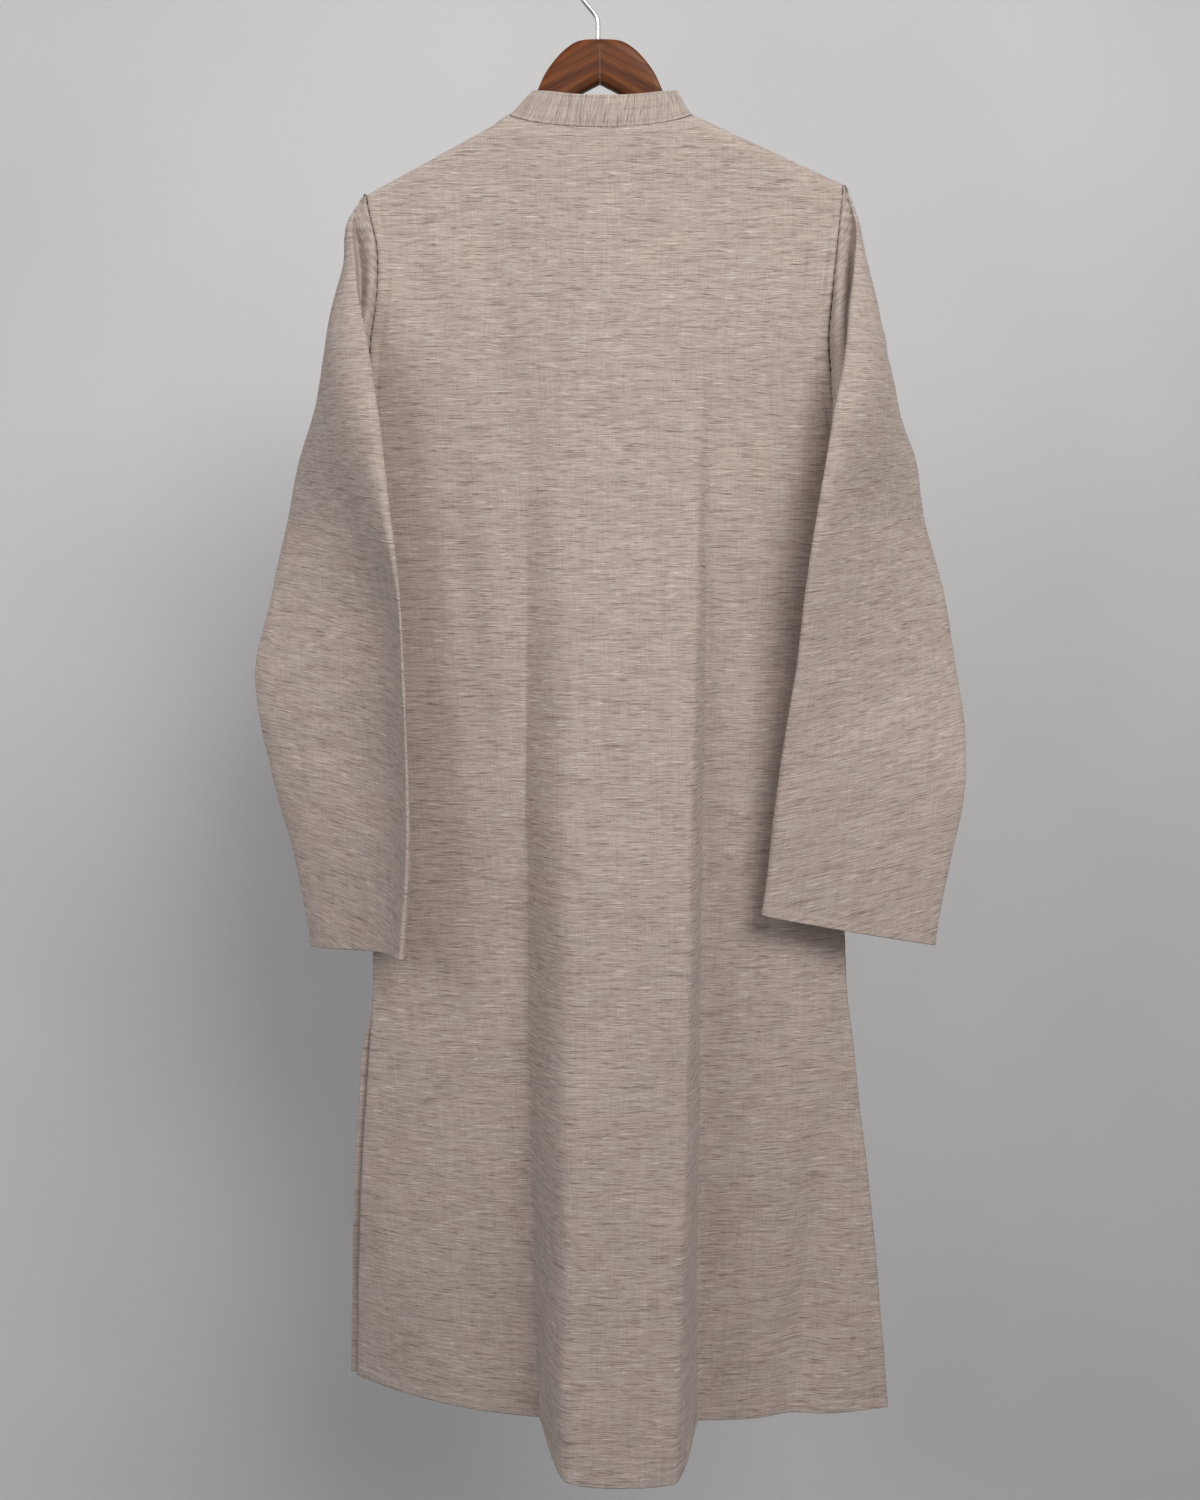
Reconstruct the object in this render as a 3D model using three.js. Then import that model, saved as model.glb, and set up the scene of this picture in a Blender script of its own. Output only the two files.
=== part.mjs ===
// A long kurta tunic hanging on a wooden hanger, in millimetres, +Z up.
// The origin is the inside top of the hook, where a rail bears. The wearer's left is +X,
// the wearer's front faces -Y, and the back of the kurta faces +Y.
// Each cut piece is a thin wall: a surface worked out from the tables below, and the same
// surface moved in along its normals by the cloth's thickness.

import * as THREE from 'three';

// ---------------------------------------------------------------- driving dimensions
const CLOTH = 1.6;                 // wall of every cut piece
const SEAM_GAP = 0.3;              // between pieces that are sewn together
const HEM_Z = -1233;               // level of the hem at the side slits
const SLIT_Z = -862;               // top of both side slits
const UNDERARM_Z = -395;
const FADE_LENGTH = 3.5;           // how soon the cloth falls away from the shoulder seam
const LENS_POWER = 3.2;            // how square the body is in plan

const NECK = { halfWidth: 76, top: -117, backDrop: 14, frontDrop: 78 };
const SHOULDER_SLOPE = { left: 0.525, right: 0.445 };
const SHOULDER_TIP = { left: 195, right: -200 };
const SHOULDER_SETTLE = { left: 2.5, right: 0 };   // how much lower a shoulder lies on its hanger arm

// Side edges of the body from the shoulder tip down the armhole and the side seam.
// left, right: the edge's X.  open: half the armhole's width front to back.
// rollLeft: the Y of the left edge, which curls away towards the hem.
// depth: how far the panels stand from the middle plane.
const SIDES = [
  { at: 'tip', z: -170, left: 195, right: -200, open: 8, rollLeft: 0, depth: 13 },
  { at: 'yoke', z: -200, left: 189, right: -197, open: 10, rollLeft: 0, depth: 14 },
  { at: 'blade', z: -228, left: 183, right: -194, open: 13, rollLeft: 0, depth: 15 },
  { at: 'arm', z: -268, left: 184, right: -191, open: 15, rollLeft: 0, depth: 17 },
  { at: 'low arm', z: -306, left: 190, right: -189, open: 14, rollLeft: 0, depth: 18 },
  { at: 'underarm', z: -395, left: 197, right: -203, open: 0, rollLeft: 0, depth: 20 },
  { at: 'waist', z: -600, left: 197, right: -208, open: 0, rollLeft: 0, depth: 22 },
  { at: 'hip', z: -843, left: 198, right: -214, open: 0, rollLeft: 0, depth: 24 },
  { at: 'slit', z: -900, left: 202, right: -221, open: 0, rollLeft: -3, depth: 24 },
  { at: 'thigh', z: -1051, left: 215, right: -240, open: 0, rollLeft: -20, depth: 24 },
  { at: 'hem', z: -1233, left: 226, right: -258, open: 0, rollLeft: -54, depth: 24 },
];
const FRONT_PEEKS = 7;             // the front's left slit edge shows beside the back's
const SLIT_SPREAD = 5;             // how far the slit edges stand apart at the hem

// The deep pleat down the middle of the back: its feet, its edges and its height.
const BACK_PLEAT = [
  { z: -215, footLeft: 56, edgeLeft: 32, edgeRight: -84, footRight: -91, height: 0 },
  { z: -390, footLeft: 60, edgeLeft: 25, edgeRight: -80, footRight: -89, height: 8 },
  { z: -640, footLeft: 62, edgeLeft: 20, edgeRight: -74, footRight: -88, height: 33 },
  { z: -900, footLeft: 62, edgeLeft: 21, edgeRight: -70, footRight: -86, height: 56 },
  { z: -1248, footLeft: 53, edgeLeft: 27, edgeRight: -61, footRight: -85, height: 78 },
];
const PLEAT_SAG = 0.19;            // how much lower the hem hangs for each mm the pleat stands out

// Soft folds: x at the top and the bottom, the stretch they cover, width and height
// (a trough has a negative height).
const BACK_FOLDS = [
  { name: 'right blade', xTop: -169, xLow: -114, zTop: -190, zLow: -620, width: 17, height: -6 },
  { name: 'left blade', xTop: 100, xLow: 72, zTop: -180, zLow: -400, width: 14, height: -5 },
  { name: 'left side', xTop: 126, xLow: 92, zTop: -330, zLow: -720, width: 15, height: -5 },
  { name: 'left yoke', xTop: 166, xLow: 120, zTop: -205, zLow: -320, width: 13, height: -3 },
  { name: 'right hem', xTop: -212, xLow: -160, zTop: -930, zLow: -1300, width: 22, height: -13 },
];
const FRONT_FOLDS = [
  { name: 'left drape', xTop: 100, xLow: 118, zTop: -260, zLow: -1700, width: 30, height: 38 },
  { name: 'right drape', xTop: -96, xLow: -112, zTop: -300, zLow: -1650, width: 28, height: 34 },
  { name: 'middle drape', xTop: 12, xLow: -6, zTop: -470, zLow: -1750, width: 26, height: 30 },
];

// Sleeve sections. Each is a flattened loop between its back fold and its front fold;
// bow pushes it outwards over the shoulder, half is half its thickness, dip is the hollow
// behind the back fold, pull draws the inner face to the underarm seam and sag is how far
// the whole flattened loop hangs in towards the body between its folds.
const LEFT_SLEEVE = [
  { z: -183.5, backX: 193.6, backY: 9, frontX: 193.6, frontY: -9, frontZ: -183.5, bow: 0.5, half: 1.6, dip: 0, pull: 1, sag: 0 },
  { z: -202, backX: 202, backY: 14, frontX: 202, frontY: -14, frontZ: -202, bow: 3, half: 2, dip: 2, pull: 1, sag: 0 },
  { z: -217, backX: 203, backY: 20, frontX: 203, frontY: -20, frontZ: -217, bow: 4, half: 3, dip: 8, pull: 1, sag: 0 },
  { z: -240, backX: 200, backY: 29, frontX: 200, frontY: -29, frontZ: -240, bow: 8, half: 4, dip: 13, pull: 1, sag: 0 },
  { z: -270, backX: 196, backY: 39, frontX: 197, frontY: -39, frontZ: -270, bow: 19, half: 6, dip: 14, pull: 1, sag: 0 },
  { z: -306, backX: 188, backY: 49, frontX: 196, frontY: -52, frontZ: -306, bow: 31, half: 7, dip: 10, pull: 1, sag: 0 },
  { z: -345, backX: 181, backY: 57, frontX: 223, frontY: -66, frontZ: -340, bow: 26, half: 8, dip: 4, pull: 1, sag: 0 },
  { z: -395, backX: 174, backY: 64, frontX: 257, frontY: -62, frontZ: -388, bow: 14, half: 8, dip: 0, pull: 1, sag: 1 },
  { z: -450, backX: 168.5, backY: 69, frontX: 272.5, frontY: -48, frontZ: -447, bow: 4, half: 7, dip: 0, pull: 0.3, sag: 9 },
  { z: -514, backX: 161, backY: 72, frontX: 287, frontY: -34, frontZ: -514, bow: 1, half: 5.5, dip: 0, pull: 0, sag: 22 },
  { z: -579, backX: 158, backY: 76, frontX: 300, frontY: -26, frontZ: -584, bow: 0, half: 5, dip: 0, pull: 0, sag: 29 },
  { z: -654, backX: 155.8, backY: 78, frontX: 287.5, frontY: -26, frontZ: -663, bow: 0, half: 5, dip: 0, pull: 0, sag: 28 },
  { z: -728, backX: 156, backY: 80, frontX: 268, frontY: -28, frontZ: -743, bow: 0, half: 6.5, dip: 0, pull: 0, sag: 22 },
  { z: -806, backX: 161.7, backY: 80, frontX: 255, frontY: -30, frontZ: -820, bow: 0, half: 7, dip: 0, pull: 0, sag: 18 },
];
const RIGHT_SLEEVE = [
  { z: -176, backX: -200.4, backY: 9, frontX: -200.4, frontY: -9, frontZ: -176, bow: 0.5, half: 1.6, dip: 0, pull: 1, sag: 0 },
  { z: -195, backX: -206.5, backY: 13, frontX: -206.5, frontY: -13, frontZ: -195, bow: 2, half: 2, dip: 2, pull: 1, sag: 0 },
  { z: -213, backX: -210, backY: 18, frontX: -210, frontY: -18, frontZ: -213, bow: 3, half: 3, dip: 6, pull: 1, sag: 0 },
  { z: -240, backX: -208, backY: 28, frontX: -208, frontY: -28, frontZ: -240, bow: 10, half: 4, dip: 12, pull: 1, sag: 0 },
  { z: -270, backX: -204, backY: 38, frontX: -205, frontY: -38, frontZ: -270, bow: 20, half: 6, dip: 13, pull: 1, sag: 0 },
  { z: -306, backX: -199, backY: 47, frontX: -207, frontY: -50, frontZ: -306, bow: 29, half: 7, dip: 10, pull: 1, sag: 0 },
  { z: -345, backX: -192, backY: 56, frontX: -236, frontY: -60, frontZ: -340, bow: 25, half: 8, dip: 4, pull: 1, sag: 0 },
  { z: -395, backX: -183, backY: 64, frontX: -271, frontY: -64, frontZ: -388, bow: 13, half: 8, dip: 0, pull: 1, sag: 0 },
  { z: -450, backX: -174, backY: 66, frontX: -285, frontY: -57, frontZ: -446, bow: 4, half: 8, dip: 0, pull: 0.3, sag: 0 },
  { z: -514, backX: -166, backY: 62, frontX: -301, frontY: -40, frontZ: -514, bow: 2, half: 8, dip: 0, pull: 0, sag: 0 },
  { z: -579, backX: -160, backY: 56, frontX: -309.5, frontY: -20, frontZ: -583, bow: 0, half: 8, dip: 0, pull: 0, sag: 0 },
  { z: -650, backX: -150, backY: 50, frontX: -312, frontY: 10, frontZ: -654, bow: 0, half: 8, dip: 0, pull: 0, sag: 0 },
  { z: -721, backX: -143, backY: 46, frontX: -300, frontY: 20, frontZ: -726, bow: 0, half: 8, dip: 0, pull: 0, sag: 0 },
  { z: -777, backX: -136, backY: 44, frontX: -286, frontY: 22, frontZ: -807, bow: 0, half: 8, dip: 0, pull: 0, sag: 0 },
];
const KINK = 0.32;                  // where across the sleeve its sag is deepest, from the back fold
const ARMHOLE_GAP = 1.2;           // sleeve to body, so that the facets of both stay clear
const UNDERARM_GAP = 4;            // the same at the underarm, where the inner face turns in
const INNER_REACH = 20;            // the armhole edge lies within this of the middle plane

const COLLAR = { height: 25.5, wall: 2, leanIn: 0.85, shift: -4.5, inset: 0.985, endGap: 3, rows: 3 };
const PLACKET = { halfWidth: 16, bottom: -430, slotBottom: -415 };
const BUTTON = { radius: 5.5, thickness: 2.4, rim: 0.6, levels: [-226, -292, -358] };

// Wooden hanger: its upper and lower line and half its thickness, from the middle outwards.
const ARM = [
  { x: 0.15, top: -58, low: -92.7, half: 6 },
  { x: 12, top: -58.5, low: -98.6, half: 6 },
  { x: 19, top: -60, low: -102.4, half: 6 },
  { x: 26, top: -64, low: -107, half: 6 },
  { x: 33, top: -70, low: -112, half: 6 },
  { x: 40, top: -78, low: -118, half: 6 },
  { x: 46, top: -87, low: -121, half: 6 },
  { x: 51, top: -98, low: -125, half: 5.8 },
  { x: 56, top: -109, low: -128, half: 5.5 },
  { x: 64, top: -118, low: -133, half: 5.2 },
  { x: 78, top: -124, low: -141, half: 5.2 },
  { x: 110, top: -141, low: -159, half: 5.8 },
  { x: 150, top: -162.5, low: -180, half: 6 },
  { x: 176, top: -177, low: -193, half: 5.8 },
  { x: 184, top: -183, low: -195.5, half: 4.4 },
  { x: 188, top: -187, low: -195, half: 2.4 },
];
const HOOK = { wire: 3.8, bend: 17.7, stemX: 1.6, stemTop: -41, stemLow: -57.7, lean: 49, end: 205 };

const COUNT = { bodyRows: 24, shoulderCells: 8, sleeveRows: 22, sleeveCells: 16, sectionSteps: 240 };
const NECK_ANGLES = [90, 83, 72, 58, 42, 25, 10, 0, -10, -25, -42, -58, -72, -83, -90];

// ---------------------------------------------------------------- small helpers
const lerp = (a, b, t) => a + (b - a) * t;
const clamp01 = (t) => Math.min(1, Math.max(0, t));
const smooth = (t) => clamp01(t) ** 2 * (3 - 2 * clamp01(t));
const radians = (degrees) => (degrees * Math.PI) / 180;

// A smooth curve through one column of a table, read at the value `at` of its key column.
function read(table, column, at, key = 'z') {
  const sign = Math.sign(table[1][key] - table[0][key]);
  const last = table.length - 2;
  let i = 0;
  while (i < last && (at - table[i + 1][key]) * sign > 0) i++;
  const slope = (k) => {
    const a = table[Math.max(0, k - 1)];
    const b = table[Math.min(table.length - 1, k + 1)];
    return (b[column] - a[column]) / (b[key] - a[key]);
  };
  const [p, q] = [table[i], table[i + 1]];
  const span = q[key] - p[key];
  const t = clamp01((at - p[key]) / span);
  const [t2, t3] = [t * t, t * t * t];
  return (2 * t3 - 3 * t2 + 1) * p[column] + (t3 - 2 * t2 + t) * span * slope(i)
    + (3 * t2 - 2 * t3) * q[column] + (t3 - t2) * span * slope(i + 1);
}

// ---------------------------------------------------------------- the body's surfaces
// Height of a soft fold above the panel: a rounded bump that fades at both its ends.
function softFold(fold, x, z) {
  const t = (fold.zTop - z) / (fold.zTop - fold.zLow);
  if (t <= 0 || t >= 1) return 0;
  const offset = (x - lerp(fold.xTop, fold.xLow, t)) / fold.width;
  return fold.height * Math.sin(Math.PI * t) * Math.exp(-offset * offset);
}

// Height of the back pleat: steep at its feet, rounded at its edges, flat between them.
function backPleat(x, z) {
  const at = Math.min(z, BACK_PLEAT[0].z);
  const row = (column) => read(BACK_PLEAT, column, at);
  const left = clamp01((row('footLeft') - x) / (row('footLeft') - row('edgeLeft')));
  const right = clamp01((x - row('footRight')) / (row('edgeRight') - row('footRight')));
  return row('height') * Math.sin((Math.PI / 2) * left) * Math.sin((Math.PI / 2) * right);
}

// Where the outer face of a panel stands at (x, z): a flat lens between the side edges,
// with the folds on it. face is +1 for the back and -1 for the front.
function panelDepth(face, x, z, left, right) {
  const across = (2 * x - left - right) / (left - right);
  const roll = (across > 0 ? across : 0) ** 2 * read(SIDES, 'rollLeft', z);
  const spread = SLIT_SPREAD * 0.5 * smooth((SLIT_Z - z) / (SLIT_Z - HEM_Z));
  const edge = read(SIDES, 'open', z) + SEAM_GAP / 2 + CLOTH + spread;
  const lens = edge + (read(SIDES, 'depth', z) + CLOTH - edge) * (1 - Math.abs(across) ** LENS_POWER);
  const folds = face > 0 ? BACK_FOLDS : FRONT_FOLDS;
  const inside = 1 - Math.abs(across) ** 8;
  const relief = folds.reduce((sum, fold) => sum + softFold(fold, x, z), face > 0 ? backPleat(x, z) : 0);
  return face * (lens + relief * inside) + roll;
}

function sideEdges(face, z) {
  const peek = face < 0 ? FRONT_PEEKS * smooth((SLIT_Z - z) / 60) : 0;
  return [read(SIDES, 'left', z) + peek, read(SIDES, 'right', z)];
}

// The top line of a panel: neckline between the neck points, shoulder seam beyond them.
function topLine(face, x) {
  const beyond = Math.abs(x) - NECK.halfWidth;
  const side = x > 0 ? 'left' : 'right';
  if (beyond >= 0) return NECK.top - beyond * SHOULDER_SLOPE[side] - SHOULDER_SETTLE[side] * smooth(beyond / 14);
  const drop = face > 0 ? NECK.backDrop : NECK.frontDrop;
  return NECK.top - drop * Math.sqrt(1 - (x / NECK.halfWidth) ** 2);
}

// The level at which the cloth starts to fall away from the middle plane: the shoulder
// seam, or inside the neck the height of the neck points.
const crestLine = (face, x) => (Math.abs(x) < NECK.halfWidth ? NECK.top : topLine(face, x));

// The point of a panel's outer face at a fraction of the section's length and a height.
// Fractions are measured along the cloth, so that the weave isn't stretched by the folds.
function panelPoint(face, fraction, z) {
  const [left, right] = sideEdges(face, z);
  const lengths = [0];
  const xs = [left];
  const ys = [panelDepth(face, left, z, left, right)];
  for (let i = 1; i <= COUNT.sectionSteps; i++) {
    xs.push(lerp(left, right, i / COUNT.sectionSteps));
    ys.push(panelDepth(face, xs[i], z, left, right));
    lengths.push(lengths[i - 1] + Math.hypot(xs[i] - xs[i - 1], ys[i] - ys[i - 1]));
  }
  const wanted = fraction * lengths[COUNT.sectionSteps];
  let i = 1;
  while (i < COUNT.sectionSteps && lengths[i] < wanted) i++;
  const t = clamp01((wanted - lengths[i - 1]) / (lengths[i] - lengths[i - 1]));
  const x = lerp(xs[i - 1], xs[i], t);
  const y = lerp(ys[i - 1], ys[i], t);
  const fall = Math.exp(-Math.max(0, crestLine(face, x) - z) / FADE_LENGTH);
  return new THREE.Vector3(x, lerp(y, face * SEAM_GAP / 2, fall), z);
}

// Columns of a panel as fractions of its width: shoulder, neck, shoulder.
function panelFractions() {
  const width = SHOULDER_TIP.left - SHOULDER_TIP.right;
  const neck = NECK_ANGLES.map((angle) => NECK.halfWidth * Math.sin(radians(angle)));
  const n = COUNT.shoulderCells;
  const leftXs = Array.from({ length: n }, (_, i) => lerp(SHOULDER_TIP.left, NECK.halfWidth, i / n));
  const rightXs = Array.from({ length: n }, (_, i) => lerp(-NECK.halfWidth, SHOULDER_TIP.right, (i + 1) / n));
  return [...leftXs, ...neck, ...rightXs].map((x) => (SHOULDER_TIP.left - x) / width);
}

// Grid of points for a panel. Rows are close together at the shoulder and wide at the hem.
function panelGrid(face) {
  const fractions = panelFractions();
  const rows = [];
  for (let i = 0; i <= COUNT.bodyRows; i++) {
    rows.push(fractions.map((fraction) => {
      const topX = lerp(SHOULDER_TIP.left, SHOULDER_TIP.right, fraction);
      const top = topLine(face, topX);
      const hemSag = face > 0 ? PLEAT_SAG * backPleatAtHem(fraction) : 0;
      const drop = (top - HEM_Z + hemSag) * (i / COUNT.bodyRows) ** 2.2;
      return panelPoint(face, fraction, top - drop);
    }));
  }
  return rows;
}

// The pleat at the hem, rounded off to both sides: what draws the hem down in the middle.
function backPleatAtHem(fraction) {
  const { x } = panelPoint(1, fraction, HEM_Z);
  return backPleat(x, HEM_Z) * (1 - 0.22 * Math.abs((x + 17) / 44) ** 3);
}

// ---------------------------------------------------------------- walls from grids
const unit = (from, to) => to.clone().sub(from).normalize();

// Normals that halve the angle between a point's neighbours, so that folds keep their wall.
function gridNormals(grid, joined, flip) {
  const last = grid[0].length - 1;
  const normals = grid.map((row, i) => row.map((_, j) => {
    const wraps = joined(i) && (j === 0 || j === last);
    const before = wraps ? row[last - 1] : row[Math.max(0, j - 1)];
    const after = wraps ? row[1] : row[Math.min(last, j + 1)];
    const above = grid[Math.max(0, i - 1)][j];
    const below = grid[Math.min(grid.length - 1, i + 1)][j];
    const here = grid[i][j];
    const along = unit(here, after).sub(unit(here, before));
    const down = unit(here, below).sub(unit(here, above));
    return along.cross(down).multiplyScalar(flip).normalize();
  }));
  normals.forEach((row, i) => {
    if (!joined(i)) return;
    const both = row[0].clone().add(row[last]).normalize();
    row[0] = both;
    row[last] = both;
  });
  return normals;
}

// A closed wall between an outer and an inner grid. keep(i, j) says which cells are cloth;
// joined(i) says which rows close into a ring.
function wall(outer, inner, flip, keep = () => true, joined = () => false) {
  const rows = outer.length - 1;
  const cells = outer[0].length - 1;
  const positions = [];
  const quad = (a, b, c, d) => {
    const ring = flip > 0 ? [a, b, c, a, c, d] : [a, c, b, a, d, c];
    ring.forEach((p) => positions.push(p.x, p.y, p.z));
  };
  const kept = (i, j) => i >= 0 && j >= 0 && i < rows && j < cells && keep(i, j);
  for (let i = 0; i < rows; i++) {
    for (let j = 0; j < cells; j++) {
      if (!kept(i, j)) continue;
      const [a, b, c, d] = [outer[i][j], outer[i][j + 1], outer[i + 1][j + 1], outer[i + 1][j]];
      const [e, f, g, h] = [inner[i][j], inner[i][j + 1], inner[i + 1][j + 1], inner[i + 1][j]];
      quad(a, b, c, d);
      quad(e, h, g, f);
      if (!kept(i - 1, j)) quad(e, f, b, a);
      if (!kept(i + 1, j)) quad(d, c, g, h);
      const ring = joined(i) && joined(i + 1);
      if (!kept(i, j - 1) && !(ring && j === 0)) quad(e, a, d, h);
      if (!kept(i, j + 1) && !(ring && j === cells - 1)) quad(b, f, g, c);
    }
  }
  const geometry = new THREE.BufferGeometry();
  geometry.setAttribute('position', new THREE.Float32BufferAttribute(positions, 3));
  geometry.computeVertexNormals();
  return geometry;
}

function moved(grid, normals, distance) {
  return grid.map((row, i) => row.map((p, j) => p.clone().addScaledVector(normals[i][j], distance)));
}

const never = () => false;

// ---------------------------------------------------------------- materials
const clothMaterial = new THREE.MeshStandardMaterial({ color: 0xb3a39a, roughness: 0.92, metalness: 0 });
const woodMaterial = new THREE.MeshStandardMaterial({ color: 0x6d432f, roughness: 0.45, metalness: 0 });
const steelMaterial = new THREE.MeshStandardMaterial({ color: 0xb9b9bd, roughness: 0.25, metalness: 1 });
const buttonMaterial = new THREE.MeshStandardMaterial({ color: 0x8a7668, roughness: 0.4, metalness: 0 });

const kurta = new THREE.Group();
function add(name, geometry, material) {
  const mesh = new THREE.Mesh(geometry, material);
  mesh.name = name;
  kurta.add(mesh);
  return mesh;
}

// ---------------------------------------------------------------- front and back
// Every panel is a wall whose inner face stops short of the seam's middle plane.
function panelWall(face, keep) {
  const outer = panelGrid(face);
  const inner = moved(outer, gridNormals(outer, never, -face), -CLOTH);
  const last = outer[0].length - 1;
  inner.forEach((row, i) => row.forEach((p, j) => {
    const across = (2 * j - last) / last;
    const roll = (across < 0 ? across : 0) ** 2 * read(SIDES, 'rollLeft', p.z);
    const limit = SEAM_GAP / 2 + (j === 0 ? roll * face : 0);
    if ((i === 0 || j === 0 || j === last) && p.y * face < limit) p.y = limit * face;
  }));
  return { geometry: wall(outer, inner, -face, keep), outer };
}

const back = panelWall(1);
add('back_panel', back.geometry, clothMaterial);

const slotCell = COUNT.shoulderCells + NECK_ANGLES.indexOf(10);
const slotRow = (() => {
  const probe = panelGrid(-1).map((row) => row[slotCell].z);
  return probe.findIndex((z) => z < PLACKET.slotBottom);
})();
const inSlot = (i, j) => i < slotRow && (j === slotCell || j === slotCell + 1);
const front = panelWall(-1, (i, j) => !inSlot(i, j));
add('front_panel', front.geometry, clothMaterial);

// ---------------------------------------------------------------- sleeves
// The seam point on the body's armhole edge that a sleeve's end of section meets.
function armholePoint(side, end, z) {
  const at = Math.max(z, UNDERARM_Z);
  const column = side > 0 ? 'left' : 'right';
  const open = z <= UNDERARM_Z ? 0 : read(SIDES, 'open', at) + SEAM_GAP / 2 + CLOTH;
  const gap = lerp(ARMHOLE_GAP, UNDERARM_GAP, smooth((UNDERARM_Z + 60 - z) / 60));
  return new THREE.Vector3(read(SIDES, column, at) + side * gap, end * open, z);
}

// A point of a sleeve: angle 0 is the outside of the arm, +90 the back fold, -90 the front
// fold and +-180 the inside. The flattened loop has blunt folds because the thickness
// follows the square root of the cosine.
function sleevePoint(table, side, step, turn) {
  const row = (column) => read(table, column, step, 'step');
  const backFold = new THREE.Vector3(row('backX'), row('backY'), row('z'));
  const frontFold = new THREE.Vector3(row('frontX'), row('frontY'), row('frontZ'));
  const middle = backFold.clone().add(frontFold).multiplyScalar(0.5);
  const reach = backFold.clone().sub(middle);
  const out = new THREE.Vector3(reach.y, -reach.x, 0).multiplyScalar(side).normalize();
  const angle = Math.PI * turn;
  const face = Math.cos(angle);
  const across = (1 - Math.sin(angle)) / 2;
  const hollow = across < KINK ? Math.sin((Math.PI / 2) * (across / KINK)) : 1 - smooth((across - KINK) / (1 - KINK));
  const thick = Math.sign(face) * Math.sqrt(Math.abs(face)) * row('half') + Math.abs(face) * row('bow')
    - hollow * row('sag');
  const point = middle.addScaledVector(reach, Math.sin(angle)).addScaledVector(out, thick);
  const inside = clamp01(2 * Math.abs(turn) - 1);
  if (inside === 0) return point;
  const end = Math.sign(turn);
  const innerMiddle = backFold.clone().add(frontFold).multiplyScalar(0.5)
    .addScaledVector(out, row('bow') - row('half'));
  const seam = armholePoint(side, end, row('z'));
  const drag = seam.sub(innerMiddle).multiplyScalar(row('pull') * smooth(inside));
  const dip = -end * row('dip') * Math.sin(Math.PI * inside) ** 2;
  return point.add(drag).add(new THREE.Vector3(0, dip, 0));
}

function sleeveWall(sections, side) {
  const table = sections.map((section, step) => ({ ...section, step }));
  const underarm = sections.findIndex((section) => section.z === UNDERARM_Z);
  const steps = Array.from({ length: COUNT.sleeveRows + 1 }, (_, i) => {
    const t = (i / COUNT.sleeveRows) * (sections.length - 1);
    return Math.abs(t - underarm) < 0.28 ? underarm : t;
  });
  const turns = Array.from({ length: COUNT.sleeveCells + 1 }, (_, j) => 1 - (2 * j) / COUNT.sleeveCells);
  const outer = steps.map((step) => turns.map((turn) => sleevePoint(table, side, step, turn)));
  const joined = (i) => steps[i] >= underarm;
  outer.forEach((row, i) => {
    if (joined(i)) row[row.length - 1] = row[0].clone();
  });
  const inner = moved(outer, gridNormals(outer, joined, side), -CLOTH);
  const column = side > 0 ? 'left' : 'right';
  inner.forEach((row) => row.forEach((p) => {
    if (p.z < UNDERARM_Z - ARMHOLE_GAP) return;
    const limit = read(SIDES, column, p.z) * side + ARMHOLE_GAP / 2;
    if (p.x * side < limit && Math.abs(p.y) < INNER_REACH) p.x = limit * side;
  }));
  return wall(outer, inner, side, () => true, joined);
}

add('sleeve_left', sleeveWall(LEFT_SLEEVE, 1), clothMaterial);
add('sleeve_right', sleeveWall(RIGHT_SLEEVE, -1), clothMaterial);

// ---------------------------------------------------------------- collar band
// The band stands on the neckline: its foot is the panels' top edge, moved up by the gap.
function collarFoot() {
  const first = COUNT.shoulderCells;
  const last = first + NECK_ANGLES.length - 1;
  const middle = slotCell + 1;
  const end = (sign) => {
    const centre = front.outer[0][middle].clone();
    const next = front.outer[0][middle - sign];
    return centre.lerp(next, (COLLAR.endGap / 2) / Math.abs(next.x - centre.x));
  };
  const frontRight = front.outer[0].slice(middle + 1, last);
  const backRow = back.outer[0].slice(first, last + 1).reverse();
  const frontLeft = front.outer[0].slice(first + 1, middle);
  return [end(-1), ...frontRight, ...backRow, ...frontLeft, end(1)];
}

function collarGrid() {
  const foot = collarFoot();
  const rows = [];
  for (let i = 0; i < COLLAR.rows; i++) {
    const t = i / (COLLAR.rows - 1);
    rows.push(foot.map((p) => {
      const beside = clamp01(Math.abs(p.x) / NECK.halfWidth) ** 3;
      const lean = new THREE.Vector3(-Math.sign(p.x) * COLLAR.leanIn * beside, 0, 1).normalize();
      const point = p.clone().addScaledVector(lean, COLLAR.height * t);
      point.x = point.x * COLLAR.inset + COLLAR.shift * t;
      point.z += 2 * SEAM_GAP;
      return point;
    }));
  }
  return rows.reverse();
}

const collarOuter = collarGrid();
const collarInner = moved(collarOuter, gridNormals(collarOuter, never, 1), -COLLAR.wall);
add('collar_band', wall(collarOuter, collarInner, 1), clothMaterial);

// ---------------------------------------------------------------- placket bands
// Each band is made from the front panel's own points, moved out or in by whole walls.
function placketBand(halfWidth, top, bottom, stand) {
  const rows = 9;
  const grid = (away) => Array.from({ length: rows }, (_, i) => {
    const z = lerp(top, bottom, i / (rows - 1));
    const [left, right] = sideEdges(-1, z);
    return [1, 0.5, 0, -0.5, -1].map((t) => {
      const x = halfWidth * t;
      return new THREE.Vector3(x, panelDepth(-1, x, z, left, right) - away, z);
    });
  });
  return wall(grid(stand + CLOTH), grid(stand), 1);
}

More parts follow.
